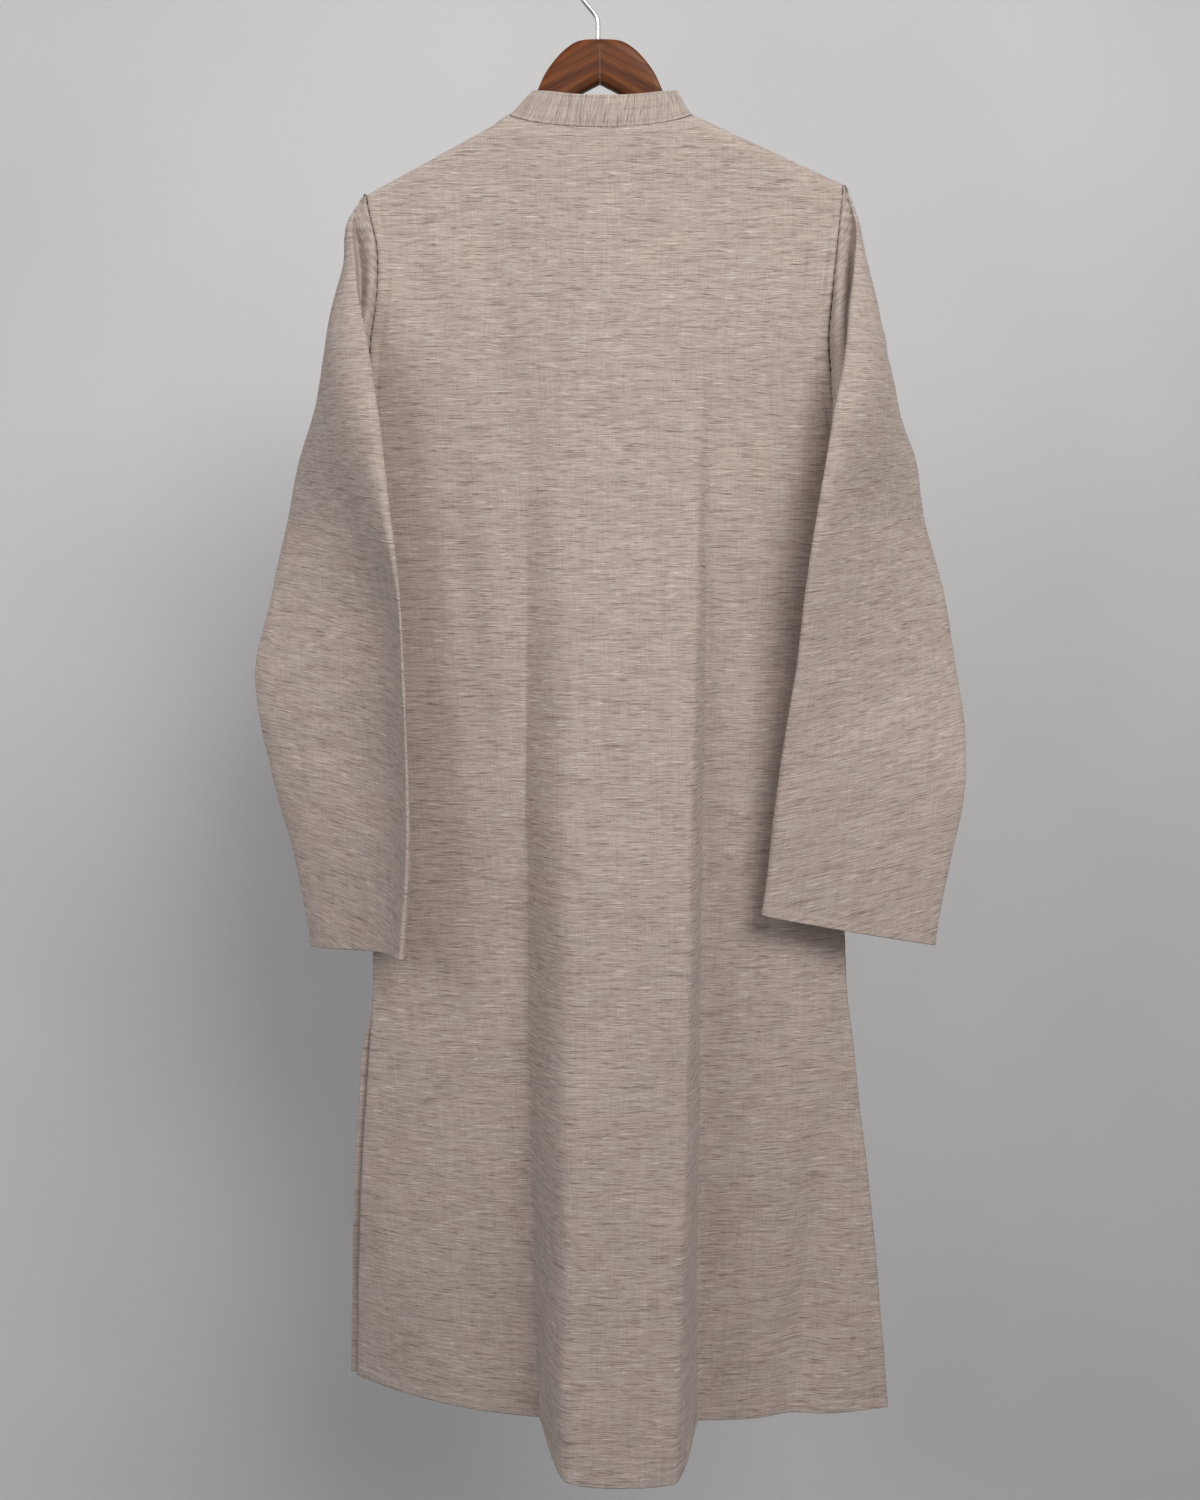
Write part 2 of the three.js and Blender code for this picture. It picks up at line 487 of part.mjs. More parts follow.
const neckFront = topLine(-1, 0);
add('placket_upper', placketBand(PLACKET.halfWidth, neckFront - 2.5, PLACKET.bottom, SEAM_GAP * 2), clothMaterial);
add('placket_under', placketBand(PLACKET.halfWidth, neckFront - 2.5, PLACKET.bottom, -CLOTH * 2 - SEAM_GAP * 2),
  clothMaterial);

// ---------------------------------------------------------------- buttons
function buttonGeometry() {
  const { radius, thickness, rim } = BUTTON;
  const outline = [
    [0, 0], [radius - rim, 0], [radius, rim], [radius, thickness - rim],
    [radius - rim, thickness], [radius * 0.66, thickness], [radius * 0.58, thickness - rim], [0, thickness - rim],
  ];
  return new THREE.LatheGeometry(outline.map(([r, h]) => new THREE.Vector2(r, h)), 16);
}

BUTTON.levels.forEach((z, i) => {
  const [left, right] = sideEdges(-1, z);
  const button = add(`button_${i + 1}`, buttonGeometry(), buttonMaterial);
  const stand = 3 * SEAM_GAP + CLOTH + 0.4;
  button.rotation.x = Math.PI;
  button.position.set(0, panelDepth(-1, 0, z, left, right) - stand, z);
});

// ---------------------------------------------------------------- hanger
// A section of the arm: a rounded rectangle in the plane across the hanger.
function armSection({ x, top, low, half }, side) {
  const corner = Math.min(half, (top - low) / 2) * 0.8;
  const points = [];
  [[1, 1], [-1, 1], [-1, -1], [1, -1]].forEach(([sy, sz], quarter) => {
    const tilt = SHOULDER_SLOPE.left - SHOULDER_SLOPE.right;
    const lift = side < 0 ? tilt * Math.max(0, x - NECK.halfWidth) : 0;
    for (let k = 0; k <= 3; k++) {
      const angle = radians(90 * quarter + 30 * k);
      const y = sy * (half - corner) + corner * Math.cos(angle);
      const z = (top + low) / 2 + sz * ((top - low) / 2 - corner) + corner * Math.sin(angle);
      points.push(new THREE.Vector3(side * x, y, z + lift));
    }
  });
  return points;
}

function loft(sections, flip) {
  const positions = [];
  const triangle = (a, b, c) => (flip ? [a, c, b] : [a, b, c]).forEach((p) => positions.push(p.x, p.y, p.z));
  const around = sections[0].length;
  for (let i = 0; i < sections.length - 1; i++) {
    for (let k = 0; k < around; k++) {
      const [a, b] = [sections[i][k], sections[i][(k + 1) % around]];
      const [c, d] = [sections[i + 1][(k + 1) % around], sections[i + 1][k]];
      triangle(a, b, c);
      triangle(a, c, d);
    }
  }
  const cap = (ring, forward) => {
    const middle = ring.reduce((sum, p) => sum.add(p), new THREE.Vector3()).divideScalar(around);
    ring.forEach((p, k) => {
      const q = ring[(k + 1) % around];
      if (forward) triangle(middle, p, q);
      else triangle(middle, q, p);
    });
  };
  cap(sections[0], false);
  cap(sections.at(-1), true);
  const geometry = new THREE.BufferGeometry();
  geometry.setAttribute('position', new THREE.Float32BufferAttribute(positions, 3));
  geometry.computeVertexNormals();
  return geometry;
}

add('hanger_arm_left', loft(ARM.map((station) => armSection(station, 1)), false), woodMaterial);
add('hanger_arm_right', loft(ARM.map((station) => armSection(station, -1)), true), woodMaterial);

// ---------------------------------------------------------------- hook
// Stem, a straight lean to the bend, then the bend round the rail to the open end.
function hookPath() {
  const centre = new THREE.Vector2(0, HOOK.wire / 2 - HOOK.bend);
  const path = [];
  for (let k = 0; k <= 3; k++) path.push(new THREE.Vector3(HOOK.stemX, 0, lerp(HOOK.stemLow, HOOK.stemTop, k / 3)));
  const start = HOOK.lean - 90;
  const sweep = HOOK.end - start;
  const steps = 22;
  for (let k = 0; k <= steps; k++) {
    const angle = radians(start + (sweep * k) / steps);
    path.push(new THREE.Vector3(
      centre.x + HOOK.bend * Math.cos(angle), 0, centre.y + HOOK.bend * Math.sin(angle)));
  }
  return path;
}

const wireSection = new THREE.Shape().absarc(0, 0, HOOK.wire / 2, 0, 2 * Math.PI);
const hook = new THREE.ExtrudeGeometry(wireSection, {
  steps: 44, curveSegments: 5, bevelEnabled: false,
  extrudePath: new THREE.CatmullRomCurve3(hookPath(), false, 'centripetal'),
});
add('hook_wire', hook, steelMaterial);

export default kurta;
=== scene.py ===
# %% [markdown]
# # A long kurta on its hanger
# A kurta is a straight tunic: a back, a front, two sleeves, a band collar and a short
# placket, all cut from one slub cotton. It hangs from a wooden hanger, so every fold in it
# comes from its own weight. Each piece below is one surface, worked out as an array of
# points from a few tables of measurements in millimetres, and the weave is a material.

# %% Load the frame
import math

import bpy
import numpy as np
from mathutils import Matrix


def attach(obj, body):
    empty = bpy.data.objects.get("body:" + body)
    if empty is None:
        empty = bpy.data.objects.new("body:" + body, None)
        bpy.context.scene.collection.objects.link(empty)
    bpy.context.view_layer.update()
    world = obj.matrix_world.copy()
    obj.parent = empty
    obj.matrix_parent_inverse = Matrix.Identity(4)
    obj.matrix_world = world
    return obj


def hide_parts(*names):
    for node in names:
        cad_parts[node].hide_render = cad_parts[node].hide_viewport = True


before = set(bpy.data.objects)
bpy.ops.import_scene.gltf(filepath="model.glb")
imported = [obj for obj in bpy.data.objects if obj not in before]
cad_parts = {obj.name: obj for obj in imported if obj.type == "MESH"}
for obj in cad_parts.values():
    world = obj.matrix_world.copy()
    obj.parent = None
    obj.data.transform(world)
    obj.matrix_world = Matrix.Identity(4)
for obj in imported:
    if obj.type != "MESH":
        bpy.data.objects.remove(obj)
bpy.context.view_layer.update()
MM = 0.001

# %% [markdown]
# ## Camera, wall and light
# The kurta is seen from its back, a little from above its middle, in front of a pale wall.
# The colours are set for the plain Standard view. The wall can be seen through from behind,
# so that the front of the kurta can be looked at too.

# %% Camera
CAMERA_AT = (0, 1.264, -0.514)
CAMERA_DIP = 5.787
scene = bpy.context.scene
scene.view_settings.view_transform = "Standard"
camera = bpy.data.objects.new("camera", bpy.data.cameras.new("camera"))
camera.data.lens = 35.52
camera.data.sensor_width = 36
camera.location = CAMERA_AT
camera.rotation_euler = (math.radians(90 - CAMERA_DIP), 0, math.pi)
scene.collection.objects.link(camera)
scene.camera = camera
print("camera looks along -Y and", CAMERA_DIP, "degrees down")


# %% Lights
def area_light(name, at, target, size, power, colour=(1, 1, 1)):
    """A soft rectangle of light at one point, facing another."""
    light = bpy.data.objects.new(name, bpy.data.lights.new(name, "AREA"))
    light.data.shape = "RECTANGLE"
    light.data.size, light.data.size_y = size
    light.data.energy = power
    light.data.color = colour
    light.location = at
    direction = np.array(target, float) - np.array(at, float)
    flat = math.hypot(direction[0], direction[1])
    light.rotation_euler = (math.atan2(flat, -direction[2]), 0, math.atan2(-direction[0], direction[1]))
    light.visible_camera = False
    scene.collection.objects.link(light)
    return light


key = area_light("key_light", (-0.95, 1.9, 1.0), (0.0, 0.0, -0.28), (1.6, 1.3), 14.8, (1, 0.985, 0.965))
key.data.spread = math.radians(92)
area_light("side_light", (1.6, 1.7, 0.5), (0.0, 0.0, -0.30), (1.2, 1.4), 17)
area_light("wall_side_light", (0, -0.58, -0.55), (0, 0, -0.55), (1.5, 1.3), 5.5)
world = bpy.data.worlds.new("studio")
world.use_nodes = True
world.node_tree.nodes["Background"].inputs["Color"].default_value = (0.97, 0.97, 0.97, 1)
world.node_tree.nodes["Background"].inputs["Strength"].default_value = 0.222
scene.world = world


# %% [markdown]
# ## Tools for shapes
# A surface here is a grid of points with a row for each step down the cloth and a column
# for each step across it. Tables hold the measurements that a maker would take, and a
# smooth curve through each column gives every value between them.

# %% Tables
def columns(names, rows):
    """A table of measurements as one array for each named column."""
    return dict(zip(names.split(), np.array(rows, float).T))


def read(table, name, at, key="z"):
    """A smooth curve through one column at the values `at` of the key column.

    Between two rows it is the cubic whose slope at each row is that of the line between
    the row's two neighbours.
    """
    x, y = table[key], table[name]
    if x[0] > x[-1]:
        x, y = x[::-1], y[::-1]
    before = np.maximum(np.arange(len(x)) - 1, 0)
    after = np.minimum(np.arange(len(x)) + 1, len(x) - 1)
    slope = (y[after] - y[before]) / (x[after] - x[before])
    i = np.clip(np.searchsorted(x, at) - 1, 0, len(x) - 2)
    span = x[i + 1] - x[i]
    t = np.clip((at - x[i]) / span, 0, 1)
    return (
        (2 * t**3 - 3 * t**2 + 1) * y[i] + (t**3 - 2 * t**2 + t) * span * slope[i]
        + (3 * t**2 - 2 * t**3) * y[i + 1] + (t**3 - t**2) * span * slope[i + 1]
    )


def smooth(t):
    """A step from 0 to 1 that starts and ends gently: 3t^2 - 2t^3."""
    t = np.clip(t, 0, 1)
    return t * t * (3 - 2 * t)


def bump(distance, width):
    """A rounded ridge, 1 at its middle and 0.37 at `width` from it."""
    return np.exp(-((distance / width) ** 2))


# %% Grids
def grid_normals(points, flip):
    """Unit normals of a grid: the step across times the step down, turned outwards."""
    normal = np.cross(np.gradient(points, axis=1), np.gradient(points, axis=0))
    normal /= np.linalg.norm(normal, axis=2, keepdims=True) + 1e-12
    return -normal if flip else normal


def lengths(points, axis):
    """How far along the cloth each point of a grid is, measured down a row or a column."""
    step = np.linalg.norm(np.diff(points, axis=axis), axis=2)
    start = np.zeros_like(np.take(step, [0], axis=axis))
    return np.concatenate([start, np.cumsum(step, axis=axis)], axis=axis)


def sample(grid, row, column):
    """Values of a grid at fractional rows and columns, by straight lines both ways."""
    row = np.clip(row, 0, grid.shape[0] - 1.001)
    column = np.clip(column, 0, grid.shape[1] - 1.001)
    i, j = row.astype(int), column.astype(int)
    s, t = (row - i), (column - j)
    if grid.ndim == 3:
        s, t = s[..., None], t[..., None]
    upper = grid[i, j] * (1 - t) + grid[i, j + 1] * t
    lower = grid[i + 1, j] * (1 - t) + grid[i + 1, j + 1] * t
    return upper * (1 - s) + lower * s


def grid_piece(name, points, uv, flip=False, keep=None, joined=None, ring=False, wall=0.0):
    """A grid of points in millimetres as a mesh in metres, with the cloth's own UV map.

    keep says which cells are cloth, joined which rows close into a ring, and ring that the
    rows themselves close from the last back to the first. wall is the cloth's thickness,
    put on the inside.
    """
    index = np.arange(points.shape[0] * points.shape[1]).reshape(points.shape[:2])
    place = index.copy()
    if joined is not None:
        index[joined, -1] = index[joined, 0]
    if ring:
        index[-1] = index[0]
    around = [np.s_[:-1, :-1], np.s_[:-1, 1:], np.s_[1:, 1:], np.s_[1:, :-1]]
    if flip:
        around = around[::-1]
    cells = np.stack([index[corner] for corner in around], axis=-1)
    spots = np.stack([place[corner] for corner in around], axis=-1)
    if keep is not None:
        cells, spots = cells[keep], spots[keep]
    cells, spots = cells.reshape(-1, 4), spots.reshape(-1, 4)
    used, faces = np.unique(cells, return_inverse=True)
    mesh = bpy.data.meshes.new(name)
    mesh.vertices.add(len(used))
    mesh.vertices.foreach_set("co", (points.reshape(-1, 3)[used] * MM).astype(np.float32).ravel())
    mesh.loops.add(faces.size)
    mesh.loops.foreach_set("vertex_index", faces.ravel().astype(np.int32))
    mesh.polygons.add(len(cells))
    mesh.polygons.foreach_set("loop_start", np.arange(0, faces.size, 4, dtype=np.int32))
    mesh.polygons.foreach_set("use_smooth", np.ones(len(cells), bool))
    mesh.update(calc_edges=True)
    mesh.uv_layers.new(name="cloth").data.foreach_set(
        "uv", (uv.reshape(-1, 2)[spots.ravel()] * MM).astype(np.float32).ravel())
    mesh.validate()
    piece = bpy.data.objects.new(name, mesh)
    scene.collection.objects.link(piece)
    if wall:
        thickness = piece.modifiers.new("cloth wall", "SOLIDIFY")
        thickness.thickness = wall * MM
        thickness.offset = -1
    return piece


def crumple(u, v, size, height, seed):
    """Small unevenness of worn cloth: 20 plane waves of random direction, about `size` long."""
    draw = np.random.default_rng(seed)
    total = np.zeros(np.broadcast(u, v).shape)
    for _ in range(20):
        angle, phase = draw.uniform(0, math.tau, 2)
        wave = size * draw.uniform(0.6, 1.8)
        along = u * math.cos(angle) + v * math.sin(angle)
        total += np.sin(along * math.tau / wave + phase) * wave / size
    return height * total / math.sqrt(20)


print("grid tools ready; a step of 0.5 becomes", float(smooth(0.5)))

# %% [markdown]
# ## Tools for materials
# Materials are written as short lists of nodes. Effects that several materials share are
# node groups, built once with named inputs: an uneven tone that makes any surface less
# perfect, and the slub weave of the cloth.


# %% Node helper
class Steps:
    """Adds nodes to one node tree, so that a material reads as a list of steps."""

    def __init__(self, tree):
        self.tree = tree

    def node(self, kind, inputs=(), **settings):
        made = self.tree.nodes.new(kind)
        for name, value in settings.items():
            setattr(made, name, value)
        self.fill(made, dict(inputs))
        return made

    def fill(self, made, inputs):
        """Gives a node's inputs their values, or links them to other nodes' outputs."""
        for socket, value in inputs.items():
            if isinstance(value, bpy.types.NodeSocket):
                self.tree.links.new(value, made.inputs[socket])
            else:
                made.inputs[socket].default_value = value

    def math(self, operation, a, b=0.0):
        return self.node("ShaderNodeMath", {0: a, 1: b}, operation=operation).outputs[0]

    def scaled(self, vector, size):
        """The vector, which is in metres, counted in grains of `size` millimetres."""
        factors = [1000 / s if s else 0 for s in size]
        made = self.node("ShaderNodeVectorMath", {0: vector, 1: factors}, operation="MULTIPLY")
        return made.outputs[0]

    def noise(self, vector, size, detail=2.0, roughness=0.55, seed=0.0):
        """Noise whose grains are `size` = (across, along, deep) millimetres."""
        moved = self.node("ShaderNodeVectorMath",
            {0: self.scaled(vector, size), 1: (seed, seed * 1.7, seed * 0.6)},
                          operation="ADD").outputs[0]
        made = self.node("ShaderNodeTexNoise", {"Vector": moved, "Scale": 1.0, "Detail": detail,
                                                "Roughness": roughness})
        return made.outputs["Fac"]

    def step(self, value, low, high, to_low=0.0, to_high=1.0):
        """A gentle step of the value from to_low below `low` to to_high above `high`."""
        made = self.node("ShaderNodeMapRange", {"Value": value, "From Min": low, "From Max": high,
                                                "To Min": to_low, "To Max": to_high},
                         interpolation_type="SMOOTHSTEP")
        return made.outputs["Result"]

    def mix(self, amount, a, b, blend="MIX"):
        """A mix of colour a and colour b, or another blend of them."""
        made = self.node("ShaderNodeMix", data_type="RGBA", blend_type=blend)
        self.fill(made, {0: amount, 6: a, 7: b})
        return made.outputs[2]


def effect(name, inputs, outputs):
    """An empty node group with named inputs and outputs, and its two ends."""
    group = bpy.data.node_groups.new(name, "ShaderNodeTree")
    for socket, kind, value in inputs:
        made = group.interface.new_socket(socket, in_out="INPUT", socket_type=kind)
        if value is not None:
            made.default_value = value
    for socket, kind in outputs:
        group.interface.new_socket(socket, in_out="OUTPUT", socket_type=kind)
    steps = Steps(group)
    return group, steps, steps.node("NodeGroupInput"), steps.node("NodeGroupOutput")


COLOR, FLOAT, VECTOR = "NodeSocketColor", "NodeSocketFloat", "NodeSocketVector"

# %% [markdown]
# ### Uneven tone
# No dyed, waxed or handled surface has one even colour. This effect drifts a colour a
# little darker and a little warmer in broad patches, and puts out the patches as a mask.

# %% Uneven tone
tone_group, g, start, end = effect(
    "uneven tone",
    [("Vector", VECTOR, None), ("Color", COLOR, (0.5, 0.5, 0.5, 1)), ("Amount", FLOAT, 0.5)],
    [("Color", COLOR), ("Mask", FLOAT)])
patches = g.noise(start.outputs["Vector"], (70, 90, 70), detail=3, roughness=0.6, seed=3.1)
tints = g.noise(start.outputs["Vector"], (38, 30, 38), detail=2, roughness=0.5, seed=7.7)
darker = g.mix(g.step(patches, 0.35, 0.65), (0.955, 0.95, 0.95, 1), (1.03, 1.03, 1.03, 1))
tinted = g.mix(g.step(tints, 0.35, 0.65), (1.03, 0.985, 0.975, 1), (0.975, 1.008, 1.0, 1))
both = g.mix(1.0, darker, tinted, "MULTIPLY")
drifted = g.mix(1.0, start.outputs["Color"], both, "MULTIPLY")
g.tree.links.new(g.mix(start.outputs["Amount"], start.outputs["Color"], drifted), end.inputs["Color"])
g.tree.links.new(patches, end.inputs["Mask"])
print("effect:", tone_group.name)

# %% [markdown]
# ### Slub weave
# A slub yarn is spun unevenly: thin for a while, then thick and fluffy for a centimetre or
# three. Woven as the weft, its thick places lie across the cloth as pale and brown dashes.
# The warp is even and shows only as faint lines. Noise that is stretched a long way across
# and hardly at all along the cloth makes the dashes, and two slower noises bend them, so
# that they waver as threads do. The same dashes put out a height for the relief.

# %% Slub weave
weave_group, g, start, end = effect(
    "slub weave",
    [("Vector", VECTOR, None), ("Ground", COLOR, (0.5, 0.42, 0.37, 1)), ("Pale", COLOR, (0.8, 0.72, 0.64, 1)),
     ("Brown", COLOR, (0.25, 0.17, 0.13, 1)), ("Slubs", FLOAT, 1.0)],
    [("Color", COLOR), ("Height", FLOAT)])
flat = start.outputs["Vector"]
slow_bend = g.math("SUBTRACT", g.noise(flat, (26, 30, 1), seed=1.3), 0.5)
quick_bend = g.math("SUBTRACT", g.noise(flat, (6.5, 9, 1), detail=1, seed=9.2), 0.5)
bend = g.math("ADD", g.math("MULTIPLY", slow_bend, 0.0026), g.math("MULTIPLY", quick_bend, 0.0006))
shift = g.node("ShaderNodeCombineXYZ", {"Y": bend}).outputs[0]
threads = g.node("ShaderNodeVectorMath", {0: flat, 1: shift}, operation="ADD").outputs[0]
pale = g.noise(threads, (16, 0.95, 1), detail=2.5, roughness=0.6, seed=2.0)
brown = g.noise(threads, (15, 0.9, 1), detail=2.5, roughness=0.6, seed=14.0)
streak = g.noise(threads, (30, 0.8, 1), detail=1.5, roughness=0.6, seed=21.0)
warp = g.noise(flat, (1.0, 45, 1), detail=1.5, roughness=0.6, seed=27.0)
tufts = g.noise(flat, (1.1, 0.9, 1), detail=1, roughness=0.5, seed=33.0)
pale_mask = g.math("MULTIPLY", g.step(pale, 0.52, 0.70), start.outputs["Slubs"])
brown_mask = g.math("MULTIPLY", g.step(brown, 0.51, 0.71), start.outputs["Slubs"])
thread_tone = g.mix(g.step(streak, 0.3, 0.7), (0.85, 0.84, 0.835, 1), (1.13, 1.13, 1.13, 1))
warp_tone = g.mix(g.step(warp, 0.3, 0.7), (0.93, 0.925, 0.92, 1), (1.06, 1.06, 1.065, 1))
tuft_tone = g.mix(g.step(tufts, 0.3, 0.7), (0.94, 0.935, 0.93, 1), (1.06, 1.06, 1.06, 1))
ground = g.mix(1.0, g.mix(1.0, start.outputs["Ground"], thread_tone, "MULTIPLY"), warp_tone, "MULTIPLY")
ground = g.mix(1.0, ground, tuft_tone, "MULTIPLY")
slubbed = g.mix(g.math("MULTIPLY", brown_mask, 0.72), ground, start.outputs["Brown"])
slubbed = g.mix(g.math("MULTIPLY", pale_mask, 0.62), slubbed, start.outputs["Pale"])
flecks = g.step(g.noise(flat, (1.5, 1.2, 1), detail=0, seed=41.0), 0.80, 0.86)
slubbed = g.mix(g.math("MULTIPLY", flecks, 0.55), slubbed, start.outputs["Brown"])
relief = g.math("ADD", g.math("MULTIPLY", pale_mask, 0.5), g.math("MULTIPLY", streak, 0.35))
relief = g.math("ADD", relief, g.math("MULTIPLY", tufts, 0.12))
relief = g.math("SUBTRACT", relief, g.math("MULTIPLY", brown_mask, 0.25))
g.tree.links.new(slubbed, end.inputs["Color"])
g.tree.links.new(relief, end.inputs["Height"])
print("effect:", weave_group.name, "with", len(weave_group.nodes), "nodes")


# %% Cloth and thread materials
def new_material(name):
    """An empty material with its Principled shader, and the steps to fill it."""
    material = bpy.data.materials.new(name)
    material.use_nodes = True
    return material, Steps(material.node_tree), material.node_tree.nodes["Principled BSDF"]


def finish_surface(steps, shader, colour, height, strength, depth):
    """Sends a colour and a relief of `depth` millimetres into the shader."""
    steps.tree.links.new(colour, shader.inputs["Base Color"])
    lifted = steps.node("ShaderNodeBump", {"Height": height, "Strength": strength, "Distance": depth * MM})
    steps.tree.links.new(lifted.outputs["Normal"], shader.inputs["Normal"])


cloth_material, m, shader = new_material("slub cotton")
along_cloth = m.node("ShaderNodeUVMap", uv_map="cloth").outputs[0]
weave = m.node("ShaderNodeGroup", node_tree=weave_group)
m.fill(weave, {"Vector": along_cloth, "Ground": (0.475, 0.395, 0.355, 1), "Pale": (0.83, 0.74, 0.66, 1),
               "Brown": (0.17, 0.105, 0.08, 1), "Slubs": 1.0})
tone = m.node("ShaderNodeGroup", node_tree=tone_group)
m.fill(tone, {"Vector": along_cloth, "Color": weave.outputs["Color"], "Amount": 0.45})
finish_surface(m, shader, tone.outputs["Color"], weave.outputs["Height"], 0.9, 0.4)
shader.inputs["Roughness"].default_value = 0.93
shader.inputs["Sheen Weight"].default_value = 0.12
shader.inputs["Sheen Roughness"].default_value = 0.6
shader.inputs["Specular IOR Level"].default_value = 0.2
print("material:", cloth_material.name)

# %% [markdown]
# ## Back and front
# Each panel hangs as a flat lens between its two side edges, with its folds on top: a deep
# rounded pleat down the middle of the back, soft troughs beside it, and three drapes in the
# front. Equal steps across the panel are measured along the cloth and not in a straight
# line, so that the weave isn't stretched where a fold makes the cloth longer.

# %% Measurements of the body
CLOTH = 1.6
SEAM_GAP = 0.1
HEM_Z, SLIT_Z, UNDERARM_Z = -1233, -862, -395
NECK_HALF, NECK_TOP, NECK_DROP = 76, -117, {1: 14, -1: 78}
TIP_LEFT, TIP_RIGHT = 195, -200
SLOPE_LEFT, SLOPE_RIGHT, SETTLE_LEFT = 0.525, 0.445, 2.5
FADE_LENGTH, LENS_POWER, PLEAT_SAG = 3.5, 3.2, 0.19
FRONT_PEEKS, SLIT_SPREAD = 7, 5
SIDES = columns("z left right open roll depth", [
    (-170, 195, -200, 8, 0, 13), (-200, 189, -197, 10, 0, 14), (-228, 183, -194, 13, 0, 15),
    (-268, 184, -191, 15, 0, 17), (-306, 190, -189, 14, 0, 18), (-395, 197, -203, 0, 0, 20),
    (-600, 197, -208, 0, 0, 22), (-843, 198, -214, 0, 0, 24), (-900, 202, -221, 0, -3, 24),
    (-1051, 215, -240, 0, -20, 24), (-1233, 226, -258, 0, -54, 24)])
PLEAT = columns("z foot_left edge_left edge_right foot_right height", [
    (-215, 56, 32, -84, -91, 0), (-390, 60, 25, -80, -89, 8), (-640, 62, 20, -74, -88, 33),
    (-900, 62, 21, -70, -86, 56), (-1248, 53, 27, -61, -85, 78)])
SOFT_FOLDS = {
    1: [(-169, -114, -190, -620, 17, -6), (100, 72, -180, -400, 14, -5), (126, 92, -330, -720, 15, -5),
        (166, 120, -205, -320, 13, -3), (-212, -160, -930, -1300, 22, -13)],
    -1: [(100, 118, -260, -1700, 30, 38), (-96, -112, -300, -1650, 28, 34), (12, -6, -470, -1750, 26, 30)],
}
print("side table has", len(SIDES["z"]), "levels")


# %% Depth of a panel
def soft_fold(fold, x, z):
    """A fold's height: a half sine along its length times a bell across it."""
    x_top, x_low, z_top, z_low, width, height = fold
    t = np.clip((z_top - z) / (z_top - z_low), 0, 1)
    return height * np.sin(math.pi * t) * bump(x - (x_top + (x_low - x_top) * t), width)


def back_pleat(x, z):
    """The pleat's height: a quarter sine up from each foot to its edge, flat between the edges."""
    z = np.minimum(z, PLEAT["z"][0])
    rows = {name: read(PLEAT, name, z) for name in PLEAT}
    left = np.clip((rows["foot_left"] - x) / (rows["foot_left"] - rows["edge_left"]), 0, 1)
    right = np.clip((x - rows["foot_right"]) / (rows["edge_right"] - rows["foot_right"]), 0, 1)
    return rows["height"] * np.sin(math.pi / 2 * left) * np.sin(math.pi / 2 * right)


def side_edges(face, z):
    """X of a panel's two side edges; the front's left edge shows beside the back's below the slit."""
    peek = FRONT_PEEKS * smooth((SLIT_Z - z) / 60) if face < 0 else 0
    return read(SIDES, "left", z) + peek, read(SIDES, "right", z)


def panel_depth(face, x, z):
    """Y of a panel's outer face: a lens, 1 - |across|^3.2, from edge to edge, and its folds."""
    left, right = side_edges(face, z)
    across = (2 * x - left - right) / (left - right)
    roll = np.maximum(across, 0) ** 2 * read(SIDES, "roll", z)
    spread = SLIT_SPREAD / 2 * smooth((SLIT_Z - z) / (SLIT_Z - HEM_Z))
    edge = read(SIDES, "open", z) + SEAM_GAP / 2 + CLOTH + spread
    lens = edge + (read(SIDES, "depth", z) + CLOTH - edge) * (1 - np.abs(across) ** LENS_POWER)
    folds = sum(soft_fold(fold, x, z) for fold in SOFT_FOLDS[face])
    if face > 0:
        folds = folds + back_pleat(x, z)
    return face * (lens + folds * (1 - np.abs(across) ** 8)) + roll


def top_line(face, x):
    """Z of a panel's top edge: half an ellipse at the neck, a straight shoulder beyond it."""
    beyond = np.abs(x) - NECK_HALF
    shoulder = NECK_TOP - beyond * np.where(x > 0, SLOPE_LEFT, SLOPE_RIGHT)
    shoulder = shoulder - np.where(x > 0, SETTLE_LEFT, 0) * smooth(beyond / 14)
    neck = NECK_TOP - NECK_DROP[face] * np.sqrt(np.clip(1 - (x / NECK_HALF) ** 2, 0, 1))
    return np.where(beyond >= 0, shoulder, neck)


# %% A panel's points
LEVELS = np.arange(-1260.0, -110.0, 2.0)
ACROSS = np.linspace(0, 1, 241)


def section_places(face):
    """For many levels: where equal steps along the cloth fall in x, and the cloth's width."""
    left, right = side_edges(face, LEVELS)
    x = left[:, None] + (right - left)[:, None] * ACROSS
    y = panel_depth(face, x, LEVELS[:, None])
    along = lengths(np.stack([x, y, np.zeros_like(x)], axis=-1), axis=1)
    places = [np.interp(ACROSS * row[-1], row, xs) for row, xs in zip(along, x)]
    return np.array(places), along[:, -1]


SECTIONS = {face: section_places(face) for face in (1, -1)}


def cloth_width(face, z):
    """The panel's width at a level, measured along the cloth."""
    return np.interp(z, LEVELS, SECTIONS[face][1])


def panel_point(face, fraction, z):
    """A point at a fraction of the cloth's width; near the shoulder seam it falls to the middle."""
    fraction, z = np.broadcast_arrays(fraction, z)
    x = sample(SECTIONS[face][0], (z - LEVELS[0]) / 2.0, fraction * (len(ACROSS) - 1))
    crest = np.where(np.abs(x) < NECK_HALF, NECK_TOP, top_line(face, x))
    fall = np.exp(-np.maximum(crest - z, 0) / FADE_LENGTH)
    y = panel_depth(face, x, z) * (1 - fall) + face * SEAM_GAP / 2 * fall
    return np.stack([x, y, z], axis=-1)


def fraction_at(x):
    """The fraction of the panel's width that starts at x on the shoulder line."""
    return (TIP_LEFT - x) / (TIP_LEFT - TIP_RIGHT)


